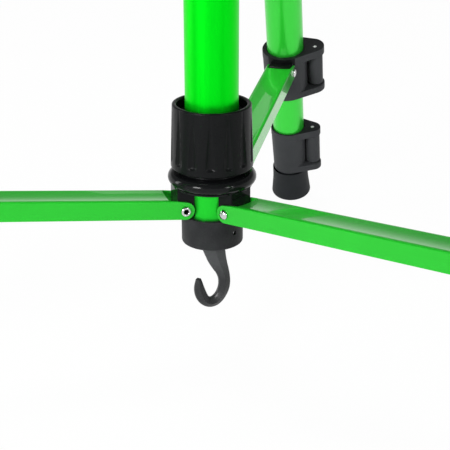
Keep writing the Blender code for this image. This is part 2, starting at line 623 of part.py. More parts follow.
def crown():
    """Shoulder casting round the tube's top: a clevis for each leg and a boss for the column lock."""
    outer = CROWN_RADIUS
    profile = [(0, CROWN_TOP), (outer - CLAMP_EDGE, CROWN_TOP), (outer, CROWN_TOP - CLAMP_EDGE)]
    profile += [(outer, -CROWN_SKIRT + CLAMP_EDGE), (outer - CLAMP_EDGE, -CROWN_SKIRT), (0, -CROWN_SKIRT)]
    body = turned(profile, RING_SIDES, ring=False)
    outline = [(0, CLEVIS_RADIUS), (0, -CROWN_SKIRT + CLAMP_EDGE), (outer, -CROWN_SKIRT + CLAMP_EDGE)]
    outline += arc(LEG_HINGE_RADIUS, 0, CLEVIS_RADIUS, -pi / 2, pi / 2)
    for leg in range(LEG_COUNT):
        around = Matrix.Rotation(leg_azimuth(leg), 4, "Z")
        body = joined(body, moved(upright_plate(outline, CLEVIS_GAP + 2 * CLEVIS_CHEEK), around))
    boss = moved(rod(LOCK_BOSS_RADIUS, 0, LOCK_BOSS_REACH), Matrix.Rotation(pi / 2, 4, "Y"))
    body = joined(body, moved(boss, Matrix.Rotation(LOCK_AZIMUTH, 4, "Z")))
    for leg in range(LEG_COUNT):
        around = Matrix.Rotation(leg_azimuth(leg), 4, "Z")
        slot = block((outer + CLEARANCE, -CLEVIS_GAP / 2, -2 * CROWN_SKIRT),
                     (2 * LEG_HINGE_RADIUS, CLEVIS_GAP / 2, 2 * CROWN_TOP))
        hole = cross_bar(HINGE_PIN_RADIUS + CLEARANCE, 2 * (CLEVIS_GAP + CLEVIS_CHEEK))
        hole = moved(hole, Matrix.Translation((LEG_HINGE_RADIUS, 0, 0)))
        body = cut(body, moved(slot, around), moved(hole, around))
    seat = CROWN_TOP - CROWN_LIP
    column_bore = COLUMN_RADIUS + CLEARANCE
    bore = turned([(0, 2 * CROWN_TOP), (column_bore, 2 * CROWN_TOP), (column_bore, seat), (HUB_BORE, seat),
                   (HUB_BORE, -2 * CROWN_SKIRT), (0, -2 * CROWN_SKIRT)], RING_SIDES, ring=False)
    return cut(body, bore, radial_hole(LOCK_SCREW_RADIUS + CLEARANCE, 0, LOCK_AZIMUTH))


def lock_knob():
    """Lobed thumb screw along X from the axis; its tip stops just short of the column."""
    head = LOCK_BOSS_REACH + CLEARANCE
    shank = rod(LOCK_SCREW_RADIUS, COLUMN_RADIUS + CLEARANCE, head + KNOB_HEIGHT / 2, SMALL_SIDES)
    steps = KNOB_LOBES * 6
    turns = [2 * pi * step / steps for step in range(steps)]
    rim = [KNOB_RADIUS - KNOB_LOBE * (1 + cos(KNOB_LOBES * turn)) / 2 for turn in turns]
    outline = [(radius * cos(turn), radius * sin(turn)) for radius, turn in zip(rim, turns)]
    return moved(joined(extruded(outline, head, head + KNOB_HEIGHT), shank), Matrix.Rotation(pi / 2, 4, "Y"))


def platform():
    """Round plate with a plug down into the column and a counterbore for the mounting screw."""
    plug_radius = COLUMN_RADIUS - COLUMN_WALL - CLEARANCE
    screw_bore = STUD_RADIUS + CLEARANCE
    head_bore = STUD_HEAD_RADIUS + CLEARANCE
    floor = PLATFORM_HEIGHT / 2
    edge = CLAMP_EDGE
    profile = [(PLATFORM_RADIUS - edge, PLATFORM_HEIGHT), (PLATFORM_RADIUS, PLATFORM_HEIGHT - edge)]
    profile += [(PLATFORM_RADIUS, edge), (PLATFORM_RADIUS - edge, 0), (plug_radius, 0)]
    profile += [(plug_radius, -PLATFORM_PLUG), (head_bore, -PLATFORM_PLUG), (head_bore, floor)]
    profile += [(screw_bore, floor), (screw_bore, PLATFORM_HEIGHT)]
    return turned(profile, RING_SIDES)


def platform_pad():
    """Soft pad on the plate, open round the mounting screw."""
    low = PLATFORM_HEIGHT + CLEARANCE
    return pipe(PLATFORM_RADIUS - PAD_MARGIN, PAD_BORE, low, low + PAD_HEIGHT, RING_SIDES)


def mounting_screw():
    """Quarter-inch stud with its head under the plate's web and a flat chamfered end."""
    seat = PLATFORM_HEIGHT / 2 - CLEARANCE
    end = PLATFORM_HEIGHT + CLEARANCE + PAD_HEIGHT + STUD_RISE
    under = seat - STUD_HEAD_HEIGHT
    profile = [(0, end), (STUD_RADIUS - STUD_CHAMFER, end), (STUD_RADIUS, end - STUD_CHAMFER)]
    profile += [(STUD_RADIUS, seat), (STUD_HEAD_RADIUS, seat), (STUD_HEAD_RADIUS, under), (0, under)]
    return turned(profile, TUBE_SIDES, ring=False)


def leg_azimuth(leg):
    """Direction of one leg seen from above."""
    return FIRST_LEG_AZIMUTH + 2 * pi * leg / LEG_COUNT


def hub_height():
    """Height of the arm pivots at which the lowest edge of every foot meets the floor."""
    reach = [radius * sin(LEG_SPLAY) - (FOOT_TOP + height) * cos(LEG_SPLAY) for radius, height in foot_skin()]
    return max(reach) - ARM_LENGTH * sin(ARM_SLOPE) - LEG_OFFSET * sin(LEG_SPLAY)


def build_centre(root, green, black, steel, rubber):
    """Tube, cap, hook, crown, column and platform."""
    pivot_height = hub_height()
    cap_top = pivot_height - CAP_DROP
    leg_pivot_height = pivot_height + ARM_LENGTH * sin(ARM_SLOPE)
    hinge_height = leg_pivot_height + LEG_OFFSET * sin(LEG_SPLAY) + LEG_RISE * cos(LEG_SPLAY)
    tube_bottom = cap_top - CAP_HEIGHT + CAP_FLOOR + CLEARANCE
    tube_top = hinge_height + CROWN_TOP - CROWN_LIP - CLEARANCE
    pin_height = cap_top - CAP_HEIGHT + CAP_PIN_DEPTH
    tube_shape = centre_tube(tube_top - tube_bottom, pin_height - tube_bottom, hinge_height - tube_bottom)
    piece("centre_tube", finished("centre_tube", tube_shape, green), root, (0, 0, tube_bottom))
    piece("end_cap", finished("end_cap", end_cap(), black), root, (0, 0, cap_top))
    piece("cap_pin", finished("cap_pin", cap_pin(), steel), root, (0, 0, pin_height), (0, 0, CAP_PIN_AZIMUTH))
    hook_turn = (0, 0, leg_azimuth(1) + pi)
    hook_top = cap_top - CAP_HEIGHT - CLEARANCE
    piece("weight_hook", finished("weight_hook", weight_hook(), black), root, (0, 0, hook_top), hook_turn)
    piece("crown", finished("crown", crown(), black), root, (0, 0, hinge_height))
    pin = finished("leg_hinge_pin", hinge_pin(), steel)
    for leg in range(LEG_COUNT):
        azimuth = leg_azimuth(leg)
        spot = (LEG_HINGE_RADIUS * cos(azimuth), LEG_HINGE_RADIUS * sin(azimuth), hinge_height)
        piece(f"leg_hinge_pin_{leg + 1}", pin, root, spot, (0, 0, azimuth))
    lift = empty("column_frame", root, (0, 0, hinge_height + CROWN_TOP + CLEARANCE))
    column = pipe(COLUMN_RADIUS, COLUMN_RADIUS - COLUMN_WALL, -COLUMN_LENGTH, -CLEARANCE, RING_SIDES)
    piece("elevating_column", finished("elevating_column", column, green), lift)
    piece("platform", finished("platform", platform(), black), lift)
    piece("platform_pad", finished("platform_pad", platform_pad(), rubber), lift)
    piece("mounting_screw", finished("mounting_screw", mounting_screw(), steel), lift)
    knob = finished("column_knob", lock_knob(), black)
    piece("column_knob", knob, root, (0, 0, hinge_height), (0, 0, LOCK_AZIMUTH))


def build_spreader(root, green, black, steel):
    """Hub, collet, collar, arms and the rivets that the arms turn on."""
    hub = empty("hub_frame", root, (0, 0, hub_height()))
    piece("spreader_hub", finished("spreader_hub", spreader_hub(), black), hub)
    piece("collet", finished("collet", collet(), black), hub)
    piece("lock_collar", finished("lock_collar", lock_collar(), black), hub)
    arm_mesh = finished("spreader_arm", spreader_arm(), green)
    rivet_mesh = finished("rivet", rivet(), steel)
    for leg in range(LEG_COUNT):
        azimuth = leg_azimuth(leg)
        spoke = empty(f"spoke_frame_{leg + 1}", hub, rotation=(0, 0, azimuth))
        pivot = empty(f"arm_frame_{leg + 1}", spoke, (HUB_PIVOT_RADIUS, 0, 0), (0, -ARM_SLOPE, 0))
        piece(f"spreader_arm_{leg + 1}", arm_mesh, pivot)
        piece(f"hub_rivet_{leg + 1}", rivet_mesh, pivot)
        piece(f"leg_rivet_{leg + 1}", rivet_mesh, pivot, (ARM_LENGTH, 0, 0))


def build_legs(root, green, black, steel, rubber):
    """Three telescopic legs, each hung on the outer pivot of its arm."""
    pivot_height = hub_height() + ARM_LENGTH * sin(ARM_SLOPE)
    upper_end = UPPER_CLAMP_TOP - UPPER_CLAMP_HEIGHT + CLAMP_GRIP + CLEARANCE
    middle_end = LOWER_CLAMP_TOP - LOWER_CLAMP_HEIGHT + CLAMP_GRIP + CLEARANCE
    lower_end = FOOT_TOP - FOOT_SOCKET + CLEARANCE
    head_seat = LEG_RISE - HEAD_NECK - CLEARANCE
    upper_ear = (UPPER_EAR_RADIUS, UPPER_EAR_INSET, UPPER_EAR_TURN)
    lower_ear = (LOWER_EAR_RADIUS, LOWER_EAR_INSET, LOWER_EAR_TURN)
    upper_clamp = clamp_body(UPPER_TUBE_RADIUS, MIDDLE_TUBE_RADIUS, UPPER_RING, UPPER_CLAMP_HEIGHT, upper_ear,
                             UPPER_PIN_TURN)
    lower_clamp = clamp_body(MIDDLE_TUBE_RADIUS, LOWER_TUBE_RADIUS, LOWER_RING, LOWER_CLAMP_HEIGHT, lower_ear,
                             LOWER_PIN_TURN)
    upper_lever = clamp_lever(UPPER_RING, UPPER_CLAMP_HEIGHT)
    lower_lever = clamp_lever(LOWER_RING, LOWER_CLAMP_HEIGHT)
    upper_pin = rod(LEVER_PIN_RADIUS, -UPPER_CLAMP_HEIGHT, 0, SMALL_SIDES)
    lower_pin = rod(LEVER_PIN_RADIUS, -LOWER_CLAMP_HEIGHT, 0, SMALL_SIDES)
    upper_tube = pipe(UPPER_TUBE_RADIUS, UPPER_TUBE_RADIUS - LEG_WALL, upper_end, head_seat)
    middle_tube = pipe(MIDDLE_TUBE_RADIUS, MIDDLE_TUBE_RADIUS - LEG_WALL, middle_end, MIDDLE_TUBE_TOP)
    lower_tube = pipe(LOWER_TUBE_RADIUS, LOWER_TUBE_RADIUS - LEG_WALL, lower_end, LOWER_TUBE_TOP)
    on_axis = (LEG_OFFSET, 0, 0)
    at_top = (LEG_OFFSET, 0, LEG_RISE)
    at_foot = (LEG_OFFSET, 0, FOOT_TOP)
    at_upper = (LEG_OFFSET, 0, UPPER_CLAMP_TOP)
    at_lower = (LEG_OFFSET, 0, LOWER_CLAMP_TOP)
    at_upper_pin = pin_spot(UPPER_RING, UPPER_PIN_TURN, UPPER_CLAMP_TOP)
    at_lower_pin = pin_spot(LOWER_RING, LOWER_PIN_TURN, LOWER_CLAMP_TOP)
    kinds = [
        ("leg_head", leg_head(), black, at_top, 0),
        ("upper_tube", upper_tube, green, on_axis, 0),
        ("upper_clamp", upper_clamp, black, at_upper, 0),
        ("upper_lever", upper_lever, black, at_upper_pin, UPPER_PIN_TURN),
        ("upper_lever_pin", upper_pin, steel, at_upper_pin, 0),
        ("middle_tube", middle_tube, green, on_axis, 0),
        ("lower_clamp", lower_clamp, black, at_lower, 0),
        ("lower_lever", lower_lever, black, at_lower_pin, LOWER_PIN_TURN),
        ("lower_lever_pin", lower_pin, steel, at_lower_pin, 0),
        ("lower_tube", lower_tube, green, on_axis, 0),
        ("foot", foot(), rubber, at_foot, 0),
    ]
    meshes = [(name, finished(name, shape, finish), spot, turn) for name, shape, finish, spot, turn in kinds]
    for leg in range(LEG_COUNT):
        spoke = empty(f"leg_spoke_{leg + 1}", root, (0, 0, pivot_height), (0, 0, leg_azimuth(leg)))
        frame = empty(f"leg_frame_{leg + 1}", spoke, (LEG_PIVOT_RADIUS, 0, 0), (0, -LEG_SPLAY, 0))
        for name, mesh, spot, turn in meshes:
            piece(f"{name}_{leg + 1}", mesh, frame, spot, (0, 0, turn))


def build():
    """Clear the scene and make the tripod."""
    for thing in list(bpy.data.objects):
        bpy.data.objects.remove(thing)
    green = material("green_anodised_aluminium", (0.010, 0.62, 0.018), 0.28, 0.35)
    black = material("black_moulded_nylon", (0.017, 0.018, 0.019), 0.42)
    steel = material("zinc_plated_steel", (0.62, 0.62, 0.60), 0.30, 1.0)
    rubber = material("black_rubber", (0.020, 0.021, 0.022), 0.75)
    root = empty("tripod")
    build_centre(root, green, black, steel, rubber)
    build_spreader(root, green, black, steel)
    build_legs(root, green, black, steel, rubber)
    bpy.context.view_layer.update()


build()
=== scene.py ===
"""Looks of a folding tripod: bright green tubes and arms, black mouldings, plated rivets, rubber feet.

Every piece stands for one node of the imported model, in metres, in the same frame.
"""

import json
from math import asin, atan2, cos, hypot, pi, radians, sin

import bmesh
import bpy
from bpy.props import FloatProperty, FloatVectorProperty, PointerProperty
from mathutils import Matrix, Vector

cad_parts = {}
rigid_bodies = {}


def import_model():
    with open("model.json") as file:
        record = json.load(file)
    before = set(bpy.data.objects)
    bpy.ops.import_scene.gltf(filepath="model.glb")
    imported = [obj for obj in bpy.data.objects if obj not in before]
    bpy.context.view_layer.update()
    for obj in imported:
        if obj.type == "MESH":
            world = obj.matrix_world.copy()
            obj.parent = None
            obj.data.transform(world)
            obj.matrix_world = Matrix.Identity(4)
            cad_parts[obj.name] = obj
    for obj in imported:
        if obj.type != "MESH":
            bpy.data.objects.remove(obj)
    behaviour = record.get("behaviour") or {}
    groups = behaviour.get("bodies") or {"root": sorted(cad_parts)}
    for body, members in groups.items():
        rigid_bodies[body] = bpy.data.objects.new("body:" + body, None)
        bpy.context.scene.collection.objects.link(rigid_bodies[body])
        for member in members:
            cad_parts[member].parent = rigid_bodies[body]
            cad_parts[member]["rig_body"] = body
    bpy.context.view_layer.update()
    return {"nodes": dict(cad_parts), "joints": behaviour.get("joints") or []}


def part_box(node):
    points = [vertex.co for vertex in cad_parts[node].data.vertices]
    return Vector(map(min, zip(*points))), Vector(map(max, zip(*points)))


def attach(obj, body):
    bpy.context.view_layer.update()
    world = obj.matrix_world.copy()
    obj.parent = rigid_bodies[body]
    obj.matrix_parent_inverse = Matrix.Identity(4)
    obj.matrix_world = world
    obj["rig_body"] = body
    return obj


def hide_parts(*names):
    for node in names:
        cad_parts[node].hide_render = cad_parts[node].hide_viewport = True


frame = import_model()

bl_info = {
    "name": "Folding Tripod Looks",
    "version": (1, 0, 0),
    "blender": (4, 5, 0),
    "location": "View3D > Sidebar > Tripod",
    "description": "Dresses the packed tripod with smooth pieces, finishes and a pale studio",
    "category": "Object",
}

# Stance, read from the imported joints
PIVOTS = {joint["name"]: Vector(joint["pos_m"]) for joint in frame["joints"] if "pos_m" in joint}
AXES = {joint["name"]: Vector(joint["axis"]) for joint in frame["joints"]}
LEG_COUNT = 3
FIRST_LEG_AZIMUTH = radians(90)
HUB_PIVOT_RADIUS = hypot(*PIVOTS["arm_1_fold"].xy)
HUB_HEIGHT = PIVOTS["arm_1_fold"].z
LEG_PIVOT_RADIUS = hypot(*PIVOTS["leg_1_fold"].xy)
LEG_PIVOT_HEIGHT = PIVOTS["leg_1_fold"].z
HINGE_HEIGHT = PIVOTS["column_lock"].z
ARM_REACH = LEG_PIVOT_RADIUS - HUB_PIVOT_RADIUS
ARM_RISE = LEG_PIVOT_HEIGHT - HUB_HEIGHT
ARM_LENGTH = hypot(ARM_REACH, ARM_RISE)
ARM_SLOPE = atan2(ARM_RISE, ARM_REACH)
LEG_SPLAY = asin(AXES["middle_1_slide"].y)

# Fits, shared with the solids
CLEARANCE = 0.0003
SLIDE_GAP = 0.0004
# Step between surfaces that would otherwise lie in one another when shapes are joined or cut
SKIN = 0.00005

# Facets round tubes, flutes and small bars, along arcs, and across rounded corners and rims
TUBE_SIDES = 96
FLUTE_SIDES = 24
SMALL_SIDES = 40
ARC_STEPS = 24
ROUND_STEPS = 4
RIM_STEPS = 3
SHARP_ANGLE = radians(28)
# Points closer than this count as one
TOUCH = 1e-7

# Rounds of edges and corners, from a deburred cut to a broad moulded corner
DEBURRED = 0.0002
CRISP = 0.0003
FINE = 0.0004
SLIGHT = 0.0005
SOFT = 0.0006
SMOOTH = 0.0007
FULL = 0.0008
BROAD = 0.0016


def length(name, description, default):
    """A size that a user would change, shown in the scene's own length unit."""
    return FloatProperty(name=name, description=description, default=default, min=0.0, precision=5,
                         unit="LENGTH")


def linear(code):
    """Linear RGB of an sRGB hex colour."""
    shares = [int(code[start:start + 2], 16) / 255 for start in (1, 3, 5)]
    return tuple(s / 12.92 if s <= 0.04045 else ((s + 0.055) / 1.055) ** 2.4 for s in shares)


def darker(shade, share):
    """A share of a colour."""
    return tuple(share * part for part in shade)


def colour(name, description, code):
    """A finish's colour, given as an sRGB hex code."""
    return FloatVectorProperty(name=name, description=description, default=linear(code), subtype="COLOR",
                               min=0, max=1)


class TripodSizes(bpy.types.PropertyGroup):
    """Sizes of the tripod's pieces."""

    tube_radius: length("Centre tube", "Outer radius of the centre tube", 0.0140)
    tube_wall: length("Centre tube wall", "Wall of the centre tube and the column", 0.0012)
    cap_wall: length("Cap wall", "Wall of the end cap round the tube", 0.0023)
    flange_radius: length("Flange", "Radius of the hub's round flange", 0.0236)
    collar_height: length("Collar height", "Height of the twist-lock collar", 0.0341)
    collar_top_radius: length("Collar rim", "Radius of the collar's open rim", 0.0208)
    collar_bottom_radius: length("Collar foot", "Radius of the collar at its lower edge", 0.0219)
    flute_depth: length("Flute depth", "Depth of the grip flutes at their lower ends", 0.0011)
    arm_width: length("Arm width", "Width of a channel arm", 0.0185)
    arm_depth: length("Arm depth", "Depth of a channel arm", 0.0104)
    arm_sheet: length("Arm sheet", "Thickness of the pressed sheet", 0.0012)
    arm_bend: length("Arm bend", "Outer radius of the bends along an arm", 0.0016)
    rivet_head: length("Rivet head", "Radius of the head of a rivet at the hub", 0.0027)
    leg_rivet_head: length("Leg rivet head", "Radius of the head of a rivet at a leg", 0.0032)
    leg_offset: length("Leg offset", "From an arm's outer pivot to the middle of its leg", 0.0190)
    upper_tube_radius: length("Upper leg tube", "Outer radius of the upper leg tube", 0.0127)
    leg_wall: length("Leg wall", "Wall of the leg tubes", 0.00105)
    upper_clamp_wall: length("Upper clamp wall", "Wall of the upper clamp round its tube", 0.0031)
    upper_clamp_height: length("Upper clamp height", "Height of the upper clamp", 0.0354)
    lower_clamp_wall: length("Lower clamp wall", "Wall of the lower clamp round its tube", 0.0014)
    lower_clamp_height: length("Lower clamp height", "Height of the lower clamp", 0.0363)
    foot_height: length("Foot height", "Height of a rubber foot", 0.0234)
    foot_radius: length("Foot tread", "Radius of a rubber foot at its tread", 0.0147)
    knob_radius: length("Knob", "Radius of the column lock's knob", 0.0130)
    platform_radius: length("Platform", "Radius of the instrument platform", 0.0280)


class TripodFinishes(bpy.types.PropertyGroup):
    """Colours of the tripod's finishes."""

    bright_green: colour("Bright green", "Dyed anodising of the centre tube and the column", "#05E41A")
    deep_green: colour("Deep green", "Darker clouding of the bright anodising", "#04D818")
    # Painted shade of the centre tube below the hub, where the flange and lugs shade it
    painted_shade_green: colour("Painted shade green", "Worn dye of the centre tube below the hub", "#24C731")
    leg_green: colour("Leg green", "Dyed anodising of the leg tubes", "#38D83F")
    dull_leg_green: colour("Dull leg green", "Darker clouding of the leg tubes", "#30CA37")
    green: colour("Green", "Dyed anodising of the arms", "#26BF2F")
    dull_green: colour("Dull green", "Darker clouding of the arms", "#20B128")
    nylon: colour("Nylon", "Moulded nylon of the clamps, cap and crown", "#303134")
    pale_nylon: colour("Pale nylon", "Scuffed grain of the nylon", "#424345")
    hook: colour("Hook nylon", "Worn nylon of the weight hook", "#4A4B4C")
    collar: colour("Collar nylon", "Smooth nylon of the hub and the collar", "#0D0E0F")
    pale_collar: colour("Pale collar nylon", "Worn sheen of the hub and the collar", "#151617")
    steel: colour("Steel", "Zinc plating of the rivets and pins", "#D9DADA")
    rubber: colour("Rubber", "Feet and platform pad", "#15181A")
    pale_rubber: colour("Pale rubber", "Dusty grain of the rubber", "#212427")


def sizes():
    """The sizes in the scene."""
    return bpy.context.scene.tripod_sizes


def leg_azimuth(leg):
    """Direction of one leg seen from above."""
    return FIRST_LEG_AZIMUTH + 2 * pi * leg / LEG_COUNT


def spun(angle, axis="Z"):
    """Turn about one axis."""
    return Matrix.Rotation(angle, 4, axis)


def shifted(across, aside, up):
    """Move along X, Y and Z."""
    return Matrix.Translation((across, aside, up))


def around(leg):
    """Turn about the centre line to one leg."""
    return spun(leg_azimuth(leg))


def arm_place(leg):
    """Frame of an arm: its hub pivot, X along the arm."""
    at_hub = shifted(HUB_PIVOT_RADIUS, 0, HUB_HEIGHT)
    return around(leg) @ at_hub @ spun(-ARM_SLOPE, "Y")


def leg_place(leg, spot, turn):
    """A spot, turned about Z, in a leg's frame: its origin is the arm pivot and its Z goes up the leg."""
    at_pivot = shifted(LEG_PIVOT_RADIUS, 0, LEG_PIVOT_HEIGHT) @ spun(-LEG_SPLAY, "Y")
    return around(leg) @ at_pivot @ shifted(*spot) @ spun(turn)


def at_height(height):
    """A place on the centre line."""
    return shifted(0, 0, height)


def arc(centre_x, centre_y, radius, start, end, steps=ARC_STEPS):
    """Points on a circle from one angle to another, both ends included."""
    turns = [start + (end - start) * step / steps for step in range(steps + 1)]
    return [(centre_x + radius * cos(turn), centre_y + radius * sin(turn)) for turn in turns]


def closed_up(shape):
    """Merge doubled points and turn every face outwards."""
    bmesh.ops.remove_doubles(shape, verts=shape.verts, dist=TOUCH)
    bmesh.ops.recalc_face_normals(shape, faces=shape.faces)
    return shape


def moved(shape, matrix):
    """The same shape after a move or a turn."""
    bmesh.ops.transform(shape, matrix=matrix, verts=shape.verts)
    return shape


def turned(profile, sides=TUBE_SIDES, ring=True):
    """Spin (radius, height) points about Z; a third number in a point rounds that corner."""
    shape = bmesh.new()
    verts = [shape.verts.new((point[0], 0, point[1])) for point in profile]
    pairs = list(zip(verts, verts[1:] + verts[:1]))
    for first, second in pairs if ring else pairs[:-1]:
        shape.edges.new((first, second))
    for vert, point in zip(verts, profile):
        if len(point) == 3:
            bmesh.ops.bevel(shape, geom=[vert], offset=point[2], affect="VERTICES", segments=ROUND_STEPS,
                            profile=0.5, material=-1)
    bmesh.ops.spin(shape, geom=shape.verts[:] + shape.edges[:], cent=(0, 0, 0), axis=(0, 0, 1),
                   angle=2 * pi, steps=sides, use_merge=True)
    return closed_up(shape)


def pipe(radius, bore, low, high, edge=DEBURRED):
    """A tube along Z with its cut ends broken."""
    return turned([(radius, high, edge), (radius, low, edge), (bore, low, edge), (bore, high, edge)])


def rod(radius, low, high, sides=SMALL_SIDES, edge=0.0):
    """A solid bar along Z, its ends rounded where an edge is given."""
    corner = (edge,) if edge else ()
    profile = [(0, high), (radius, high, *corner), (radius, low, *corner), (0, low)]
    shape = turned(profile, sides, ring=False)
    bmesh.ops.dissolve_verts(shape, verts=[vert for vert in shape.verts if hypot(*vert.co.xy) < TOUCH])
    return shape


def rounded(shape, lines, radius, segments):
    """The shape with some of its edges rounded."""
    bmesh.ops.bevel(shape, geom=lines, offset=radius, segments=segments, affect="EDGES", profile=0.5,
                    material=-1)
    return shape


def plate(outline, low, high, edge=0.0, segments=RIM_STEPS):
    """A plate with an (x, y) outline between two heights, its rims rounded where an edge is given."""
    shape = bmesh.new()
    face = shape.faces.new([shape.verts.new((x, y, low)) for x, y in outline])
    top = bmesh.ops.extrude_face_region(shape, geom=[face])["geom"]
    lifted = [item for item in top if isinstance(item, bmesh.types.BMVert)]
    bmesh.ops.translate(shape, verts=lifted, vec=(0, 0, high - low))
    closed_up(shape)
    rims = [line for line in shape.edges if abs(line.verts[0].co.z - line.verts[1].co.z) < TOUCH]
    return rounded(shape, rims, edge, segments) if edge else shape


def block(low, high, edge=0.0):
    """A box between two corners, rounded all over where an edge is given."""
    outline = [(low[0], low[1]), (high[0], low[1]), (high[0], high[1]), (low[0], high[1])]
    shape = plate(outline, low[2], high[2])
    return rounded(shape, shape.edges[:], edge, ROUND_STEPS) if edge else shape


def upright_plate(outline, width, edge=0.0):
    """A plate whose outline lies in the XZ plane, centred on Y."""
    return moved(plate(outline, -width / 2, width / 2, edge), spun(pi / 2, "X"))


def cross_bar(radius, span, edge=0.0):
    """A round bar along Y, centred on the origin."""
    return moved(rod(radius, -span / 2, span / 2, SMALL_SIDES, edge), spun(pi / 2, "X"))


def radial_bar(radius, low, high, azimuth, height, edge=0.0):
    """A round bar outwards from the centre line at one azimuth."""
    bar = moved(rod(radius, low, high, SMALL_SIDES, edge), spun(pi / 2, "Y"))
    return moved(bar, at_height(height) @ spun(azimuth))


def carrier(shape):
    """A linked object that holds a shape while it is cut or joined."""
    mesh = bpy.data.meshes.new("carrier")
    shape.to_mesh(mesh)
    shape.free()
    thing = bpy.data.objects.new("carrier", mesh)
    bpy.context.scene.collection.objects.link(thing)
    return thing


def combined(base, tool, operation):
    """Join two shapes, or cut one with the other."""
    things = [carrier(base), carrier(tool)]
    boolean = things[0].modifiers.new("Boolean", "BOOLEAN")
    boolean.operation = operation
    boolean.object = things[1]
    graph = bpy.context.evaluated_depsgraph_get()
    result = bmesh.new()
    result.from_mesh(things[0].evaluated_get(graph).to_mesh())
    for thing in things:
        mesh = thing.data
        bpy.data.objects.remove(thing)
        bpy.data.meshes.remove(mesh)
    return closed_up(result)


def joined(base, *others):
    """All the shapes as one solid."""
    for other in others:
        base = combined(base, other, "UNION")
    return base


def cut(base, *tools):
    """The base less every tool."""
    for tool in tools:
        base = combined(base, tool, "DIFFERENCE")
    return base


def place(node, shape, finish, matrix, others=()):
    """Put a finished shape where its node is and let it stand for it.

    The vertices keep their own coordinates in an attribute, so that grain follows the piece. Each of the
    other finishes is a pair: its name and a test of a face's own middle.
    """
    mesh = bpy.data.meshes.new(node + "_look")
    for index, (_, test) in enumerate(others, 1):
        for face in shape.faces:
            if test(face.calc_center_median()):
                face.material_index = index
    shape.to_mesh(mesh)
    shape.free()
    own = mesh.attributes.new("own_place", "FLOAT_VECTOR", "POINT")
    own.data.foreach_set("vector", [value for vert in mesh.vertices for value in vert.co])
    mesh.transform(matrix)
    mesh.shade_smooth()
    mesh.set_sharp_from_angle(angle=SHARP_ANGLE)
    for name in (finish, *(other for other, _ in others)):
        mesh.materials.append(bpy.data.materials[name])
    thing = bpy.data.objects.new(node + "_look", mesh)
    bpy.context.scene.collection.objects.link(thing)
    even = thing.modifiers.new("Even normals", "WEIGHTED_NORMAL")
    even.keep_sharp = True
    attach(thing, frame["nodes"][node]["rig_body"])
    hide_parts(node)


def place_on_legs(node, shape, finish, spot, turn=0.0, others=()):
    """Put one shape on every leg."""
    for leg in range(LEG_COUNT):
        place(f"{node}_{leg + 1}", shape.copy(), finish, leg_place(leg, spot, turn), others)
    shape.free()


def add(tree, kind, inputs=None, **settings):
    """Add a node with its settings; an input takes a value, or a link where it is given a socket."""
    node = tree.nodes.new(kind)
    for name, value in settings.items():
        setattr(node, name, value)
    for key, value in (inputs or {}).items():
        if isinstance(value, bpy.types.NodeSocket):
            tree.links.new(value, node.inputs[key])
        else:
            node.inputs[key].default_value = value
    return node


def new_finish(name, grain, cloud, colours, rough, relief, **sockets):
    """A material whose colour, roughness and bump follow a fine grain and a wide cloud.

    Grain and cloud are sizes in the piece's own frame. Colours and roughness are pairs, the relief is a
    strength and a depth, and the shader's other sockets hold constants.
    """
    finish = bpy.data.materials.new(name)
    finish.use_nodes = True
    tree = finish.node_tree
    shader = tree.nodes["Principled BSDF"]
    for key, value in sockets.items():
        shader.inputs[key.replace("_", " ")].default_value = value
    own = add(tree, "ShaderNodeAttribute", attribute_name="own_place").outputs["Vector"]
    scale = [1 / step for step in grain]
    fitted = add(tree, "ShaderNodeMapping", {"Vector": own, "Scale": scale}).outputs[0]
    fine = add(tree, "ShaderNodeTexNoise", {"Vector": fitted, "Scale": 1.0, "Detail": 3.0}).outputs[0]
    wide = add(tree, "ShaderNodeTexNoise", {"Vector": own, "Scale": 1 / cloud, "Detail": 2.0}).outputs[0]
    share = add(tree, "ShaderNodeMath", {0: fine, 1: wide, 2: 0.1}, operation="MULTIPLY_ADD").outputs[0]
    first, second = ((*shade, 1) for shade in colours)
    tint = add(tree, "ShaderNodeMix", {0: share, 6: first, 7: second}, data_type="RGBA").outputs[2]
    gloss = add(tree, "ShaderNodeMapRange", {0: fine, 1: 0.3, 2: 0.7, 3: rough[0], 4: rough[1]}).outputs[0]
    strength, depth = relief
    bump = add(tree, "ShaderNodeBump", {"Height": fine, "Strength": strength, "Distance": depth}).outputs[0]
    for key, socket in (("Base Color", tint), ("Roughness", gloss), ("Normal", bump)):
        tree.links.new(socket, shader.inputs[key])
    return tree


def changed_below(tree, tint, low, high, least):
    """Fade a finish's colour to another between two of the piece's own heights, down to its least share."""
    shader, own = tree.nodes["Principled BSDF"], tree.nodes["Attribute"].outputs["Vector"]
    above = shader.inputs["Base Color"].links[0].from_socket
    height = add(tree, "ShaderNodeSeparateXYZ", {0: own}).outputs["Z"]
    share = add(tree, "ShaderNodeMapRange", {0: height, 1: low, 2: high, 3: least, 4: 1.0}).outputs[0]
    blend = add(tree, "ShaderNodeMix", {0: share, 6: (*tint, 1), 7: above}, data_type="RGBA")
    tree.links.new(blend.outputs[2], shader.inputs["Base Color"])


# Grain of worked aluminium along X, Y and Z. The real lines of the draw and of the rolls are about 0.05 mm
# apart; they are drawn at 0.3 mm so that they show.
DRAWN_LINES = (0.0003, 0.0003, 0.05)
ROLLED_LINES = (0.05, 0.0003, 0.0003)
# Height over which the tube's painted shade below the hub fades out
SHADE_FADE = 0.02


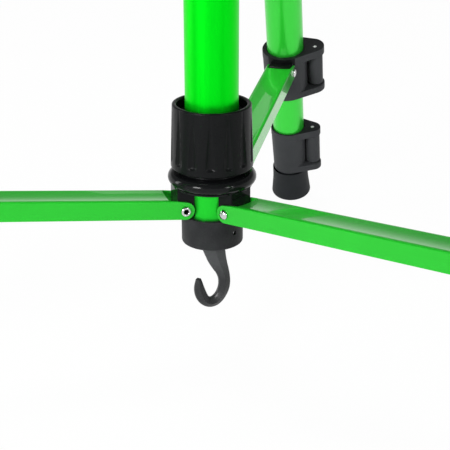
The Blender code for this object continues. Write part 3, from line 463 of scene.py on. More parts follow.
class TRIPOD_OT_finishes(bpy.types.Operator):
    """Make the tripod's materials."""

    bl_idname = "tripod.finishes"
    bl_label = "Finishes"

    def execute(self, context):
        paint = context.scene.tripod_finishes
        # Drawn aluminium, polished and then dyed: reflections take the colour, so it stays strong and even.
        greens = (paint.deep_green, paint.bright_green)
        tree = new_finish("bright_green_anodised_tube", DRAWN_LINES, cloud=0.02, colours=greens,
                          rough=(0.3, 0.38), relief=(0.02, 0.00002), Metallic=0.75, Specular_IOR_Level=0.0)
        # Painted shade: from the hub's flange down, where the hub shades the tube, its colour fades to a
        # duller green.
        stop = HUB_HEIGHT + FLANGE_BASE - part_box("centre_tube")[0].z
        changed_below(tree, paint.painted_shade_green, stop, stop + SHADE_FADE, 0.0)
        # The same draw with a clear seal over a duller dye: pale streaks of light lie on the green.
        greens = (paint.dull_leg_green, paint.leg_green)
        new_finish("sealed_green_anodised_tube", DRAWN_LINES, cloud=0.02, colours=greens,
                   rough=(0.28, 0.36), relief=(0.02, 0.00002), Metallic=0.6, Specular_IOR_Level=0.4,
                   Coat_Weight=0.3, Coat_Roughness=0.05)
        # The sealed dye on rolled sheet, pressed to a channel: the rolling lines run along the arm.
        greens = (paint.dull_green, paint.green)
        new_finish("sealed_green_anodised_sheet", ROLLED_LINES, cloud=0.02, colours=greens,
                   rough=(0.28, 0.33), relief=(0.01, 0.00002), Metallic=0.3, Specular_IOR_Level=0.1,
                   Coat_Weight=1.0, Coat_Roughness=0.03, Coat_IOR=1.25)
        # Glass-filled nylon from a spark-eroded mould: a fine grain that scatters the highlights.
        nylons = (paint.nylon, paint.pale_nylon)
        new_finish("grained_black_nylon", 3 * (0.0004,), cloud=0.012, colours=nylons,
                   rough=(0.42, 0.54), relief=(0.16, 0.00004), Specular_IOR_Level=0.1)
        # The end cap's nylon: the same grain, less scuffed.
        new_finish("fine_black_nylon", 3 * (0.0004,), cloud=0.012, colours=(paint.collar, paint.pale_nylon),
                   rough=(0.42, 0.54), relief=(0.12, 0.00004), Specular_IOR_Level=0.1)
        # The tops of the clamps: a finer, glossier grain, and a darker colour that is painted shade on the
        # tops.
        new_finish("smooth_black_nylon_painted_shade", 3 * (0.0006,), cloud=0.012, colours=(paint.collar, paint.nylon),
                   rough=(0.3, 0.4), relief=(0.08, 0.00003), Specular_IOR_Level=0.1)
        # Unfilled nylon from a smooth mould: deep black, with a satin light on the edges of the flutes.
        nylons = (paint.collar, paint.pale_collar)
        new_finish("satin_black_nylon", 3 * (0.0006,), cloud=0.012, colours=nylons,
                   rough=(0.26, 0.36), relief=(0.08, 0.00003), Specular_IOR_Level=0.09)
        # Nylon from a polished mould: the flange keeps small, sharp lights.
        new_finish("polished_black_nylon", 3 * (0.0009,), cloud=0.012, colours=nylons,
                   rough=(0.1, 0.16), relief=(0.04, 0.00003), Specular_IOR_Level=0.14)
        # The hook's nylon, drawn smooth by the parting of its mould; its ridge gives each facet its own
        # grey under the lamps.
        # Painted shade: the colour fades dark from the stem down to the bend, where the bowl gets little
        # light from below.
        greys = (paint.pale_nylon, paint.hook)
        tree = new_finish("glossy_black_nylon", 3 * (0.0006,), cloud=0.012, colours=greys,
                          rough=(0.26, 0.36), relief=(0.1, 0.00003), Specular_IOR_Level=0.2)
        changed_below(tree, paint.collar, HOOK_BEND, HOOK_STEM, HOOK_SHADE_SHARE)
        # Bright zinc on cold-headed steel: a mirror broken by the soft unevenness of the plating.
        steels = (darker(paint.steel, 0.8), paint.steel)
        new_finish("bright_zinc_plated_steel", 3 * (0.0006,), cloud=0.004, colours=steels,
                   rough=(0.1, 0.2), relief=(0.06, 0.00003), Metallic=1.0)
        # Dull zinc on the turned ends of the pins: the tool marks spread the light.
        new_finish("dull_zinc_plated_steel", 3 * (0.0004,), cloud=0.003, colours=steels,
                   rough=(0.38, 0.5), relief=(0.1, 0.00003), Metallic=0.5)
        # The bore of a rivet and its rolled mouth: painted shade, dark, dull steel for the hollow that
        # light hardly reaches.
        steels = (darker(paint.steel, 0.02), darker(paint.steel, 0.05))
        new_finish("shaded_rivet_bore", 3 * (0.0005,), cloud=0.002, colours=steels,
                   rough=(0.5, 0.65), relief=(0.1, 0.00003), Metallic=0.6)
        # Vulcanised rubber straight from the mould: matt, with a dusty grain.
        rubbers = (paint.rubber, paint.pale_rubber)
        new_finish("black_vulcanised_rubber", 3 * (0.0005,), cloud=0.008, colours=rubbers,
                   rough=(0.55, 0.7), relief=(0.2, 0.00005), Specular_IOR_Level=0.2)
        return {"FINISHED"}


class TRIPOD_OT_tubes(bpy.types.Operator):
    """Centre tube, elevating column and the three sections of every leg."""

    bl_idname = "tripod.tubes"
    bl_label = "Tubes"

    def execute(self, context):
        size = sizes()
        for node, radius in (("centre_tube", size.tube_radius), ("elevating_column", column_radius())):
            low, high = (corner.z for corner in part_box(node))
            tube = pipe(radius, radius - size.tube_wall, 0, high - low)
            if node == "centre_tube":
                pin_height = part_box("end_cap")[0].z + CAP_PIN_DEPTH - low
                pin, screw = CAP_PIN_RADIUS + CLEARANCE, LOCK_SCREW_RADIUS + CLEARANCE
                pin_hole = radial_bar(pin, 0, 2 * radius, CAP_PIN_AZIMUTH, pin_height)
                screw_hole = radial_bar(screw, 0, 2 * radius, LOCK_AZIMUTH, HINGE_HEIGHT - low)
                tube = cut(tube, pin_hole, screw_hole)
            place(node, tube, "bright_green_anodised_tube", at_height(low))
        clamps = clamp_sizes()
        upper_low = UPPER_CLAMP_TOP - size.upper_clamp_height + CLAMP_GRIP + CLEARANCE
        middle_low = lower_clamp_top() - size.lower_clamp_height + CLAMP_GRIP + CLEARANCE
        lower_low = foot_top() - FOOT_SOCKET + CLEARANCE
        middle_high = leg_rise() - HEAD_NECK - HEAD_PLUG - MIDDLE_TUBE_INSET
        spans = (
            ("upper_tube", clamps["upper"]["outer"], upper_low, leg_rise() - HEAD_NECK - CLEARANCE),
            ("middle_tube", clamps["upper"]["inner"], middle_low, middle_high),
            ("lower_tube", clamps["lower"]["inner"], lower_low, middle_high - LOWER_TUBE_INSET),
        )
        for node, radius, low, high in spans:
            tube = pipe(radius, radius - size.leg_wall, low, high)
            place_on_legs(node, tube, "sealed_green_anodised_tube", (size.leg_offset, 0, 0))
        return {"FINISHED"}


# End cap and weight hook
CAP_FLOOR = 0.0030
CAP_ROUND = 0.0011
CAP_PIN_RADIUS = 0.0010
CAP_PIN_DEPTH = 0.0085
CAP_PIN_RECESS = 0.0010
CAP_PIN_AZIMUTH = radians(330)
HOOK_STUD_RADIUS = 0.0030
HOOK_THICKNESS = 0.0068
HOOK_TIP_THICKNESS = 0.0040
HOOK_TIP_STATIONS = 4
HOOK_STEPS = 6
# Own heights between which the hook's painted shade darkens it, and the share of its own colour that the
# shaded bend keeps
HOOK_STEM = -0.0130
HOOK_BEND = -0.0240
HOOK_SHADE_SHARE = 0.4
HOOK_LEG = 1
# Middle of the hook from the cap down round the bowl: distance across, depth and width
HOOK_LINE = (
    (-0.0006, 0.0000, 0.0138), (0.0012, 0.0065, 0.0120), (0.0024, 0.0110, 0.0107),
    (0.0040, 0.0154, 0.0090), (0.0054, 0.0188, 0.0077), (0.0065, 0.0230, 0.0068),
    (0.0067, 0.0268, 0.0066), (0.0062, 0.0299, 0.0065), (0.0051, 0.0326, 0.0063),
    (0.0034, 0.0352, 0.0062), (0.0010, 0.0371, 0.0061), (-0.0017, 0.0376, 0.0058),
    (-0.0041, 0.0364, 0.0060), (-0.0059, 0.0342, 0.0065), (-0.0071, 0.0313, 0.0065),
    (-0.0078, 0.0280, 0.0057), (-0.0080, 0.0250, 0.0043), (-0.0081, 0.0226, 0.0028),
)
# Half of the hook's section: shares of its width and thickness, with a ridge along the middle
HOOK_SECTION = ((0.5, 0.0), (0.49, 0.13), (0.44, 0.22), (0.3, 0.31), (0.12, 0.43), (0.0, 0.5),
                (-0.12, 0.43), (-0.3, 0.31), (-0.44, 0.22), (-0.49, 0.13))


def end_cap(height):
    """Cup over the tube's lower end with its top at z = 0, drilled for the pin and the hook."""
    size = sizes()
    bore = size.tube_radius + CLEARANCE
    radius = bore + size.cap_wall
    stud_bore = HOOK_STUD_RADIUS + CLEARANCE
    floor = CAP_FLOOR - height
    profile = [(radius, 0, FINE), (radius, -height, CAP_ROUND), (stud_bore, -height, CRISP)]
    profile += [(stud_bore, floor), (bore, floor), (bore, 0, CRISP)]
    hole = radial_bar(CAP_PIN_RADIUS + CLEARANCE, 0, 2 * radius, CAP_PIN_AZIMUTH, CAP_PIN_DEPTH - height)
    return cut(turned(profile), hole)


def hook_stations():
    """Smooth curve through the hook's line: distance across, depth, width and share of full thickness."""
    last = len(HOOK_LINE) - 1
    rows = [(*row, min(1.0, (last - index) / HOOK_TIP_STATIONS)) for index, row in enumerate(HOOK_LINE)]
    stations = []
    for index in range(last):
        ends = [Vector(rows[min(last, max(0, index + step))]) for step in (-1, 0, 1, 2)]
        for step in range(HOOK_STEPS):
            t = step / HOOK_STEPS
            slope, bend = ends[2] - ends[0], 2 * ends[0] - 5 * ends[1] + 4 * ends[2] - ends[3]
            twist = 3 * ends[1] - ends[0] - 3 * ends[2] + ends[3]
            stations.append(ends[1] + (slope * t + bend * t * t + twist * t ** 3) / 2)
    return [*stations, Vector(rows[-1])]


def weight_hook():
    """Moulded hook in the XZ plane, open towards -X, ridged on both faces, with a stud into the cap."""
    shape = bmesh.new()
    section = [*HOOK_SECTION, *((-a, -b) for a, b in HOOK_SECTION)]
    loops = []
    stations = hook_stations()
    for index, (across, depth, width, full) in enumerate(stations):
        before, after = stations[max(0, index - 1)], stations[min(len(stations) - 1, index + 1)]
        lean = (after[0] - before[0]) * min(1.0, index / HOOK_STEPS)
        travel = Vector((lean, 0, before[1] - after[1])).normalized()
        side = Vector((-travel.z, 0, travel.x)) * width
        thick = Vector((0, HOOK_TIP_THICKNESS + (HOOK_THICKNESS - HOOK_TIP_THICKNESS) * full, 0))
        middle = Vector((across, 0, -depth))
        verts = [shape.verts.new(middle + side * a + thick * b) for a, b in section]
        loops.append([shape.edges.new(pair) for pair in zip(verts, verts[1:] + verts[:1])])
    for first, second in zip(loops, loops[1:]):
        bmesh.ops.bridge_loops(shape, edges=first + second)
    for loop in (loops[0], loops[-1]):
        bmesh.ops.contextual_create(shape, geom=loop)
    shape = rounded(closed_up(shape), loops[-1], SOFT, RIM_STEPS)
    return joined(shape, rod(HOOK_STUD_RADIUS, -HOOK_STUD_RADIUS, CAP_FLOOR))


class TRIPOD_OT_end_cap(bpy.types.Operator):
    """End cap on the centre tube, its cross pin and the weight hook."""

    bl_idname = "tripod.end_cap"
    bl_label = "End Cap and Hook"

    def execute(self, context):
        low, high = (corner.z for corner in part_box("end_cap"))
        place("end_cap", end_cap(high - low), "fine_black_nylon", at_height(high))
        size = sizes()
        inner = size.tube_radius - size.tube_wall
        outer = size.tube_radius + CLEARANCE + size.cap_wall - CAP_PIN_RECESS
        pin = radial_bar(CAP_PIN_RADIUS, inner, outer, CAP_PIN_AZIMUTH, 0, DEBURRED)
        place("cap_pin", pin, "bright_zinc_plated_steel", at_height(low + CAP_PIN_DEPTH))
        hang = at_height(low - CLEARANCE) @ spun(leg_azimuth(HOOK_LEG) + pi)
        place("weight_hook", weight_hook(), "glossy_black_nylon", hang)
        return {"FINISHED"}


# Spreader hub and twist-lock collar, heights above the arm pivots
HUB_LUG_OVERHANG = 0.0039
HUB_LUG_DROP = 0.0046
HUB_LUG_ROOT = 0.0040
HUB_LUG_EDGE = 0.0009
HUB_HOLE_SHARE = 0.74
HUB_LIP_RADIUS = 0.0215
HUB_LIP_HEIGHT = 0.0010
POLISH_MARGIN = 0.0030
FLANGE_BASE = 0.0108
FLANGE_HEIGHT = 0.0078
NECK_WALL = 0.0027
NECK_REVEAL = 0.0026
COLLAR_RIM_WALL = 0.00235
COLLAR_RIM_DEPTH = 0.0090
COLLAR_EDGE = 0.0008
COLLAR_BASE = FLANGE_BASE + FLANGE_HEIGHT + NECK_REVEAL
COLLET_HEIGHT = 0.0040
COLLET_SLIT = 0.0016
FLUTE_COUNT = 14
FLUTE_TOP_BAND = 0.0070
FLUTE_BOTTOM_BAND = 0.0033
FLUTE_LEVELS = 36
# Half of a flute in facets, the share of that at its upper tip, and the share of its length in the scoop
FLUTE_HALF = 7
FLUTE_TIP = 0.3
FLUTE_SCOOP = 0.06
FLUTE_PHASE = radians(-78.5)


def neck_top():
    """Top of the hub's threaded neck, above the arm pivots."""
    return COLLAR_BASE + sizes().collar_height - COLLAR_RIM_DEPTH


def lug_width():
    """Width of a lug between the cheeks of an arm."""
    return sizes().arm_width - 2 * sizes().arm_sheet - 2 * CLEARANCE


def spreader_hub():
    """Ring that slides on the tube: round flange, neck and a lug for each arm; the pivots are at z = 0."""
    size = sizes()
    bore = size.tube_radius + CLEARANCE
    neck = bore + NECK_WALL
    flange_top = FLANGE_BASE + FLANGE_HEIGHT
    belly = (FLANGE_HEIGHT - HUB_LIP_HEIGHT) / 2
    lip_top = FLANGE_BASE + HUB_LIP_HEIGHT
    high = neck_top() - CLEARANCE
    profile = [(bore, high, CRISP), (neck, high, SLIGHT), (neck, flange_top, SOFT)]
    profile += arc(size.flange_radius - belly, lip_top + belly, belly, pi / 2, -pi / 2)
    profile += [(HUB_LIP_RADIUS, lip_top), (HUB_LIP_RADIUS, FLANGE_BASE, CRISP), (bore, FLANGE_BASE, CRISP)]
    body = turned(profile)
    end = HUB_PIVOT_RADIUS + HUB_LUG_OVERHANG
    half = lug_width() / 2
    for leg in range(LEG_COUNT):
        lug_top = (end, half, FLANGE_BASE + FLANGE_HEIGHT / 2)
        lug = block((bore - HUB_LUG_ROOT, -half, -HUB_LUG_DROP), lug_top, HUB_LUG_EDGE)
        body = joined(body, moved(lug, around(leg)))
    body = cut(body, rod(bore + SKIN, -2 * HUB_LUG_DROP, FLANGE_BASE + FLANGE_HEIGHT, TUBE_SIDES))
    for leg in range(LEG_COUNT):
        hole = cross_bar(size.rivet_head * HUB_HOLE_SHARE + CLEARANCE, size.arm_width)
        body = cut(body, moved(hole, around(leg) @ shifted(HUB_PIVOT_RADIUS, 0, 0)))
    return body


def collet():
    """Split ring that the collar squeezes onto the tube, standing on the hub's neck."""
    size = sizes()
    low = neck_top()
    high = low + COLLET_HEIGHT
    outer = size.collar_top_radius - COLLAR_RIM_WALL - CLEARANCE
    ring = pipe(outer, size.tube_radius + CLEARANCE, low, high, FINE)
    half = COLLET_SLIT / 2
    slit = block((0, -half, low - COLLET_HEIGHT), (2 * outer, half, high + COLLET_HEIGHT))
    return cut(ring, moved(slit, spun(FLUTE_PHASE)))


def lock_collar():
    """Twist-lock collar: flared, with grip flutes that deepen downwards to scoops, and an open rim."""
    size = sizes()
    top = COLLAR_BASE + size.collar_height
    fluted = size.collar_height - FLUTE_TOP_BAND - FLUTE_BOTTOM_BAND
    rim_bore = size.collar_top_radius - COLLAR_RIM_WALL
    bore = size.tube_radius + CLEARANCE + NECK_WALL + CLEARANCE
    step = neck_top() - CLEARANCE
    flare = size.collar_bottom_radius - size.collar_top_radius

    def skin(drop):
        return size.collar_top_radius + flare * drop / size.collar_height

    levels = [FLUTE_TOP_BAND + fluted * level / FLUTE_LEVELS for level in range(FLUTE_LEVELS + 1)]
    profile = [(size.collar_top_radius, top, COLLAR_EDGE), *[(skin(drop), top - drop) for drop in levels]]
    profile += [(size.collar_bottom_radius, COLLAR_BASE, COLLAR_EDGE), (bore, COLLAR_BASE, FINE)]
    profile += [(bore, step), (rim_bore, step), (rim_bore, top, COLLAR_EDGE)]
    body = moved(turned(profile, FLUTE_COUNT * FLUTE_SIDES), spun(FLUTE_PHASE))
    pitch = 2 * pi / FLUTE_COUNT
    half = pitch * FLUTE_HALF / FLUTE_SIDES
    for vert in body.verts:
        radius = hypot(vert.co.x, vert.co.y)
        within = (top - vert.co.z - FLUTE_TOP_BAND) / fluted
        if radius > rim_bore + COLLAR_RIM_WALL / 2 and 0 < within < 1:
            offset = (atan2(vert.co.y, vert.co.x) - FLUTE_PHASE + pitch / 2) % pitch - pitch / 2
            scoop = max(0.0, (within - 1 + FLUTE_SCOOP) / FLUTE_SCOOP)
            spread = half * (FLUTE_TIP + (1 - FLUTE_TIP) * within)
            hollow = max(0.0, 1 - (offset / spread) ** 2 - scoop ** 2)
            share = 1 - size.flute_depth * hollow * min(1.0, FLUTE_TIP + within) / radius
            vert.co.x *= share
            vert.co.y *= share
    return body


class TRIPOD_OT_hub(bpy.types.Operator):
    """Spreader hub, collet and twist-lock collar."""

    bl_idname = "tripod.hub"
    bl_label = "Hub and Collar"

    def execute(self, context):
        def on_flange(middle):
            return hypot(middle.x, middle.y) > HUB_LIP_RADIUS - POLISH_MARGIN and middle.z > FLANGE_BASE

        spot, finish, slot = at_height(HUB_HEIGHT), "satin_black_nylon", "black_nylon"
        place("spreader_hub", spreader_hub(), finish, spot, [("polished_black_nylon", on_flange)])
        place("collet", collet(), finish, spot)
        place("lock_collar", lock_collar(), finish, spot)
        return {"FINISHED"}


# Spreader arms and rivets
ARM_PIVOT_DEPTH = 0.0056
HUB_WEB_SETBACK = 0.0094
LEG_WEB_SETBACK = 0.0082
WEB_DISH = 0.0004
WEB_DISH_HALF = 0.0073
RIVET_RADIUS = 0.0020
RIVET_HEAD_HEIGHT = 0.0015
RIVET_BORE = 0.0013
RIVET_BORE_DEPTH = 0.0060
RIVET_ROLL_HEIGHT = 0.00105
# Reach of the rivet's painted shade: its bore, out past the rolled end
RIVET_DARK_RADIUS = 1.02 * RIVET_BORE
RIVET_DARK_TOP = 0.0012
DOME_STEPS = 14
BEND_STEPS = 8


def spreader_arm():
    """Pressed channel along X from its hub pivot, with rounded ears past both ends of its web."""
    size = sizes()
    top = ARM_PIVOT_DEPTH
    drop = size.arm_depth - ARM_PIVOT_DEPTH
    outline = arc(ARM_LENGTH, 0, drop, -pi / 2, pi / 2)
    outline += [(ARM_LENGTH - LEG_WEB_SETBACK, top), (HUB_WEB_SETBACK, top)]
    outline += arc(0, 0, drop, pi / 2, 3 * pi / 2)
    body = upright_plate(outline, size.arm_width)
    bends = [line for line in body.edges
             if all(abs(vert.co.z - top) < TOUCH for vert in line.verts)
             and abs(line.verts[0].co.y - line.verts[1].co.y) < TOUCH]
    rounded(body, bends, size.arm_bend, BEND_STEPS)
    half = size.arm_width / 2 - size.arm_sheet
    past = ARM_LENGTH + 2 * drop
    inner_bend = size.arm_bend - size.arm_sheet
    channel = block((-2 * drop, -half, -2 * drop), (past, half, top - size.arm_sheet), inner_bend)
    hub_notch = block((-2 * drop, -half, 0), (HUB_WEB_SETBACK, half, 2 * top))
    leg_notch = block((ARM_LENGTH - LEG_WEB_SETBACK, -half, 0), (past, half, 2 * top))
    body = cut(body, channel, hub_notch, leg_notch, web_dish())
    for pivot in (0, ARM_LENGTH):
        hole = cross_bar(RIVET_RADIUS + CLEARANCE, 2 * size.arm_width)
        body = cut(body, moved(hole, shifted(pivot, 0, 0)))
    return body


def web_dish():
    """What the shallow sink of the press leaves out of the top of a web."""
    top = ARM_PIVOT_DEPTH
    radius = (WEB_DISH_HALF ** 2 + WEB_DISH ** 2) / (2 * WEB_DISH)
    spread = asin(sizes().arm_width / 2 / radius)
    bottom = arc(WEB_DISH - top - radius, 0, radius, -spread, spread)
    outline = [*bottom, (-2 * top, bottom[-1][1]), (-2 * top, bottom[0][1])]
    return moved(plate(outline, 0, ARM_LENGTH), spun(pi / 2, "Y"))


def rivet(head):
    """Semi-tubular rivet along Y: a domed head at -Y and a rolled, hollow end at +Y."""
    size = sizes()
    seat = size.arm_width / 2 + CLEARANCE
    dome = [(head * sin(turn), seat + RIVET_HEAD_HEIGHT * cos(turn))
            for turn in (pi / 2 * step / DOME_STEPS for step in range(DOME_STEPS + 1))]
    rolled = -seat - RIVET_ROLL_HEIGHT
    bottom = RIVET_BORE_DEPTH - seat
    profile = [*dome, (RIVET_RADIUS, seat), (RIVET_RADIUS, -seat), (size.rivet_head, -seat, DEBURRED)]
    profile += [(size.rivet_head, rolled, SMOOTH), (RIVET_BORE, rolled, FINE), (RIVET_BORE, bottom)]
    profile += [(0, bottom)]
    return moved(turned(profile, SMALL_SIDES, ring=False), spun(pi / 2, "X"))


class TRIPOD_OT_arms(bpy.types.Operator):
    """Channel arms of the spreader and the rivets at both their ends."""

    bl_idname = "tripod.arms"
    bl_label = "Arms and Rivets"

    def execute(self, context):
        size = sizes()
        arm, pin, far_pin = spreader_arm(), rivet(size.rivet_head), rivet(size.leg_rivet_head)

        # Faces in the bore and at the rolled mouth, which take the painted shade
        def in_bore(middle):
            deep = 0 < middle.y < size.arm_width / 2 + RIVET_DARK_TOP
            return deep and hypot(middle.x, middle.z) < RIVET_DARK_RADIUS

        dark = [("shaded_rivet_bore", in_bore)]
        for leg in range(LEG_COUNT):
            spot = arm_place(leg)
            far = spot @ shifted(ARM_LENGTH, 0, 0)
            name = f"spreader_arm_{leg + 1}"
            place(name, arm.copy(), "sealed_green_anodised_sheet", spot)
            for node, shape, end in (("hub_rivet", pin, spot), ("leg_rivet", far_pin, far)):
                name = f"{node}_{leg + 1}"
                place(name, shape.copy(), "bright_zinc_plated_steel", end, dark)
        for shape in (arm, pin, far_pin):
            shape.free()
        return {"FINISHED"}


# Flip-lock clamps, positions along the leg measured from the arm pivot, up is positive
UPPER_CLAMP_TOP = 0.0080
LOWER_CLAMP_DROP = 0.0671
CLAMP_TAPER = 0.0008
CLAMP_EDGE = 0.0007
CLAMP_GRIP = 0.0180
CLAMP_SLIT = 0.0012
TOP_EAR = 0.0062
BOTTOM_EAR = 0.0052
PIN_STANDOFF = 0.00466
BARREL_RADIUS = 0.0052
BARREL_ROOM = 0.0006
BARREL_ROUND = 0.0022
GROOVE_SPAN = radians(37)
GROOVE_LEAD = radians(3.7)
LEVER_PIN_RADIUS = 0.0015
LEVER_PIN_SINK = 0.0003
LEVER_PLATE = 0.0026
LEVER_INSET = 0.0020
LEVER_WRAP = radians(58)
LEVER_RIBS = 5
LEVER_RIB = 0.0004
LEVER_RIB_PITCH = radians(5)
RIB_STEPS = 8


def clamp_sizes():
    """Radii, heights and ears of the two kinds of clamp, by name."""
    size = sizes()
    outer = size.upper_tube_radius
    middle = outer - size.leg_wall - SLIDE_GAP
    inner = middle - size.leg_wall - SLIDE_GAP
    upper = {"outer": outer, "inner": middle, "ring": outer + CLEARANCE + size.upper_clamp_wall,
             "height": size.upper_clamp_height, "top": UPPER_CLAMP_TOP, "pin_turn": radians(10.6),
             "ear_turn": radians(16), "ear_radius": 0.0088, "ear_inset": 0.0023, "groove": 0.0013}
    lower = {"outer": middle, "inner": inner, "ring": middle + CLEARANCE + size.lower_clamp_wall,
             "height": size.lower_clamp_height, "top": lower_clamp_top(), "pin_turn": radians(3.1),
             "ear_turn": radians(3.1), "ear_radius": 0.0059, "ear_inset": 0.0, "groove": 0.0006}
    return {"upper": upper, "lower": lower}


def lower_clamp_top():
    """Top of the lower clamp along the leg."""
    return UPPER_CLAMP_TOP - LOWER_CLAMP_DROP


def ear_outline(ring_radius, reach, radius):
    """Clamp ring seen from above, drawn out to a boss towards -Y."""
    side = asin((ring_radius - radius) / reach)
    boss = arc(0, -reach, radius, -side, side - pi)
    return boss + arc(0, 0, ring_radius, pi + side, -side, 2 * ARC_STEPS)


def clamp_body(clamp, with_boss):
    """Flip-lock clamp with its top at z = 0: a ring between two eared plates, split where it grips."""
    ring, height = clamp["ring"], clamp["height"]
    reach = ring + PIN_STANDOFF
    low_ring = ring - CLAMP_TAPER
    bottom = CLAMP_EDGE - height
    profile = [(0, -CLAMP_EDGE), (ring - SKIN, -CLAMP_EDGE), (low_ring - SKIN, bottom), (0, bottom)]
    body = turned(profile, ring=False)
    ear_reach = reach - clamp["ear_inset"]
    spin = spun(clamp["ear_turn"])
    for radius, low, high in ((ring, -TOP_EAR, 0), (low_ring, -height, BOTTOM_EAR - height)):
        ear = plate(ear_outline(radius, ear_reach, clamp["ear_radius"]), low, high, CLAMP_EDGE)
        body = joined(body, moved(ear, spin))
    if with_boss:
        body = joined(body, arm_boss())
        hole = cross_bar(RIVET_RADIUS + CLEARANCE, sizes().arm_width)
        body = cut(body, moved(hole, shifted(-sizes().leg_offset, 0, -clamp["top"])))
    step = CLAMP_GRIP - height
    outer, inner = clamp["outer"] + CLEARANCE, clamp["inner"] + CLEARANCE
    lead = CLAMP_EDGE / 2
    profile = [(0, height), (outer + height + lead, height), (outer, -lead), (outer, step), (inner, step)]
    bore = turned([*profile, (inner, -2 * height), (0, -2 * height)], ring=False)
    at_pin = spun(clamp["pin_turn"]) @ shifted(0, -reach, 0)
    low, high = BOTTOM_EAR - height + SKIN, -TOP_EAR - SKIN
    recess = moved(rod(BARREL_RADIUS + BARREL_ROOM, low, high), at_pin)
    pin_hole = moved(rod(LEVER_PIN_RADIUS + CLEARANCE, -2 * height, height), at_pin)
    floor = ring - clamp["groove"]
    start = clamp["pin_turn"] - pi / 2 + GROOVE_LEAD
    end = start - GROOVE_SPAN
    band = arc(0, 0, floor, start, end) + arc(0, 0, 2 * ring, end, start)
    recess = joined(recess, plate(band, low + SKIN, high - SKIN))
    slit = block((-CLAMP_SLIT / 2, -reach, -2 * height), (CLAMP_SLIT / 2, 0, step - CLAMP_EDGE))
    return cut(body, bore, recess, pin_hole, moved(slit, spun(clamp["pin_turn"])))


def arm_boss():
    """Tongue on the inner side of the upper clamp that fits between the cheeks of an arm."""
    size = sizes()
    radius = size.arm_depth - ARM_PIVOT_DEPTH
    reach = arc(-size.leg_offset, 0, radius, pi / 2, 3 * pi / 2)
    root = -size.upper_tube_radius
    boss = upright_plate([(root, radius), *reach, (root, -radius)], lug_width(), SLIGHT)
    return moved(boss, at_height(-UPPER_CLAMP_TOP))


def clamp_lever(clamp):
    """Flip lever on its pin axis: a barrel between the ears and a ribbed plate round the outer side."""
    inner = clamp["ring"] + CLEARANCE
    outer = inner + LEVER_PLATE
    low = BOTTOM_EAR + CLEARANCE - clamp["height"]
    high = -TOP_EAR - CLEARANCE
    profile = [(0, high), (BARREL_RADIUS, high, CRISP), (BARREL_RADIUS, low, BARREL_ROUND), (0, low)]
    barrel = turned(profile, ring=False)
    start = -pi / 2
    ribs = LEVER_WRAP - LEVER_RIBS * LEVER_RIB_PITCH
    face = outer - LEVER_RIB
    outline = arc(0, 0, face, start, ribs)
    for step in range(1, LEVER_RIBS * RIB_STEPS):
        turn = ribs + LEVER_RIB_PITCH * step / RIB_STEPS
        crest = face + LEVER_RIB * sin(pi * step / RIB_STEPS) ** 2
        outline.append((crest * cos(turn), crest * sin(turn)))
    middle, half = (inner + face) / 2, (face - inner) / 2
    tip = (middle * cos(LEVER_WRAP), middle * sin(LEVER_WRAP))
    outline += arc(*tip, half, LEVER_WRAP, LEVER_WRAP + pi, RIB_STEPS)[:-1]
    outline += arc(0, 0, inner, LEVER_WRAP, start)
    wing = moved(plate(outline, low + LEVER_INSET, high - LEVER_INSET, CRISP, 2),
                 shifted(0, clamp["ring"] + PIN_STANDOFF, 0))
    return cut(joined(barrel, wing), rod(LEVER_PIN_RADIUS + CLEARANCE, 2 * low, clamp["height"]))


class TRIPOD_OT_clamps(bpy.types.Operator):
    """Flip-lock clamps of every leg with their levers and pins."""

    bl_idname = "tripod.clamps"
    bl_label = "Clamps and Levers"

    def execute(self, context):
        offset = sizes().leg_offset

        # The tops take the darker smooth nylon: painted shade.
        def on_top(middle):
            return middle.z > -CLAMP_EDGE / 2

        # Painted shade: the upper clamp's tongue between the arm's cheeks takes the deep black satin nylon,
        # as it lies in shade.
        def shaded_tongue(middle):
            inward = middle.x < 0 and abs(middle.y) < sizes().arm_width / 2
            return inward and -TOP_EAR - CLAMP_EDGE < middle.z <= -CLAMP_EDGE / 2

        top = ("smooth_black_nylon_painted_shade", on_top)
        others = {"upper": [top, ("satin_black_nylon", shaded_tongue)], "lower": [top]}
        finish, slot = "grained_black_nylon", "black_nylon"
        for name, clamp in clamp_sizes().items():
            turn, reach = clamp["pin_turn"], clamp["ring"] + PIN_STANDOFF
            spot = (offset, 0, clamp["top"])
            pin_spot = (offset + reach * sin(turn), -reach * cos(turn), clamp["top"])
            body = clamp_body(clamp, name == "upper")
            place_on_legs(f"{name}_clamp", body, finish, spot, 0.0, others[name])
            place_on_legs(f"{name}_lever", clamp_lever(clamp), finish, pin_spot, turn)
            pin = rod(LEVER_PIN_RADIUS, -clamp["height"], -LEVER_PIN_SINK, edge=SMOOTH)
            place_on_legs(f"{name}_lever_pin", pin, "dull_zinc_plated_steel", pin_spot)
        return {"FINISHED"}


# Feet
FOOT_GAP = 0.0006
FOOT_TOP_RADIUS = 0.0130
FOOT_WAIST_RADIUS = 0.0132
FOOT_WAIST_HEIGHT = 0.0140
FOOT_WAIST_ROUND = 0.0030
FOOT_SOCKET = 0.0145
FOOT_EDGE = 0.0012
TREAD_GROOVE = 0.0007
TREAD_RINGS = (0.0104, 0.0074, 0.0044)


def foot_top():
    """Top of a foot along the leg."""
    return lower_clamp_top() - sizes().lower_clamp_height - FOOT_GAP


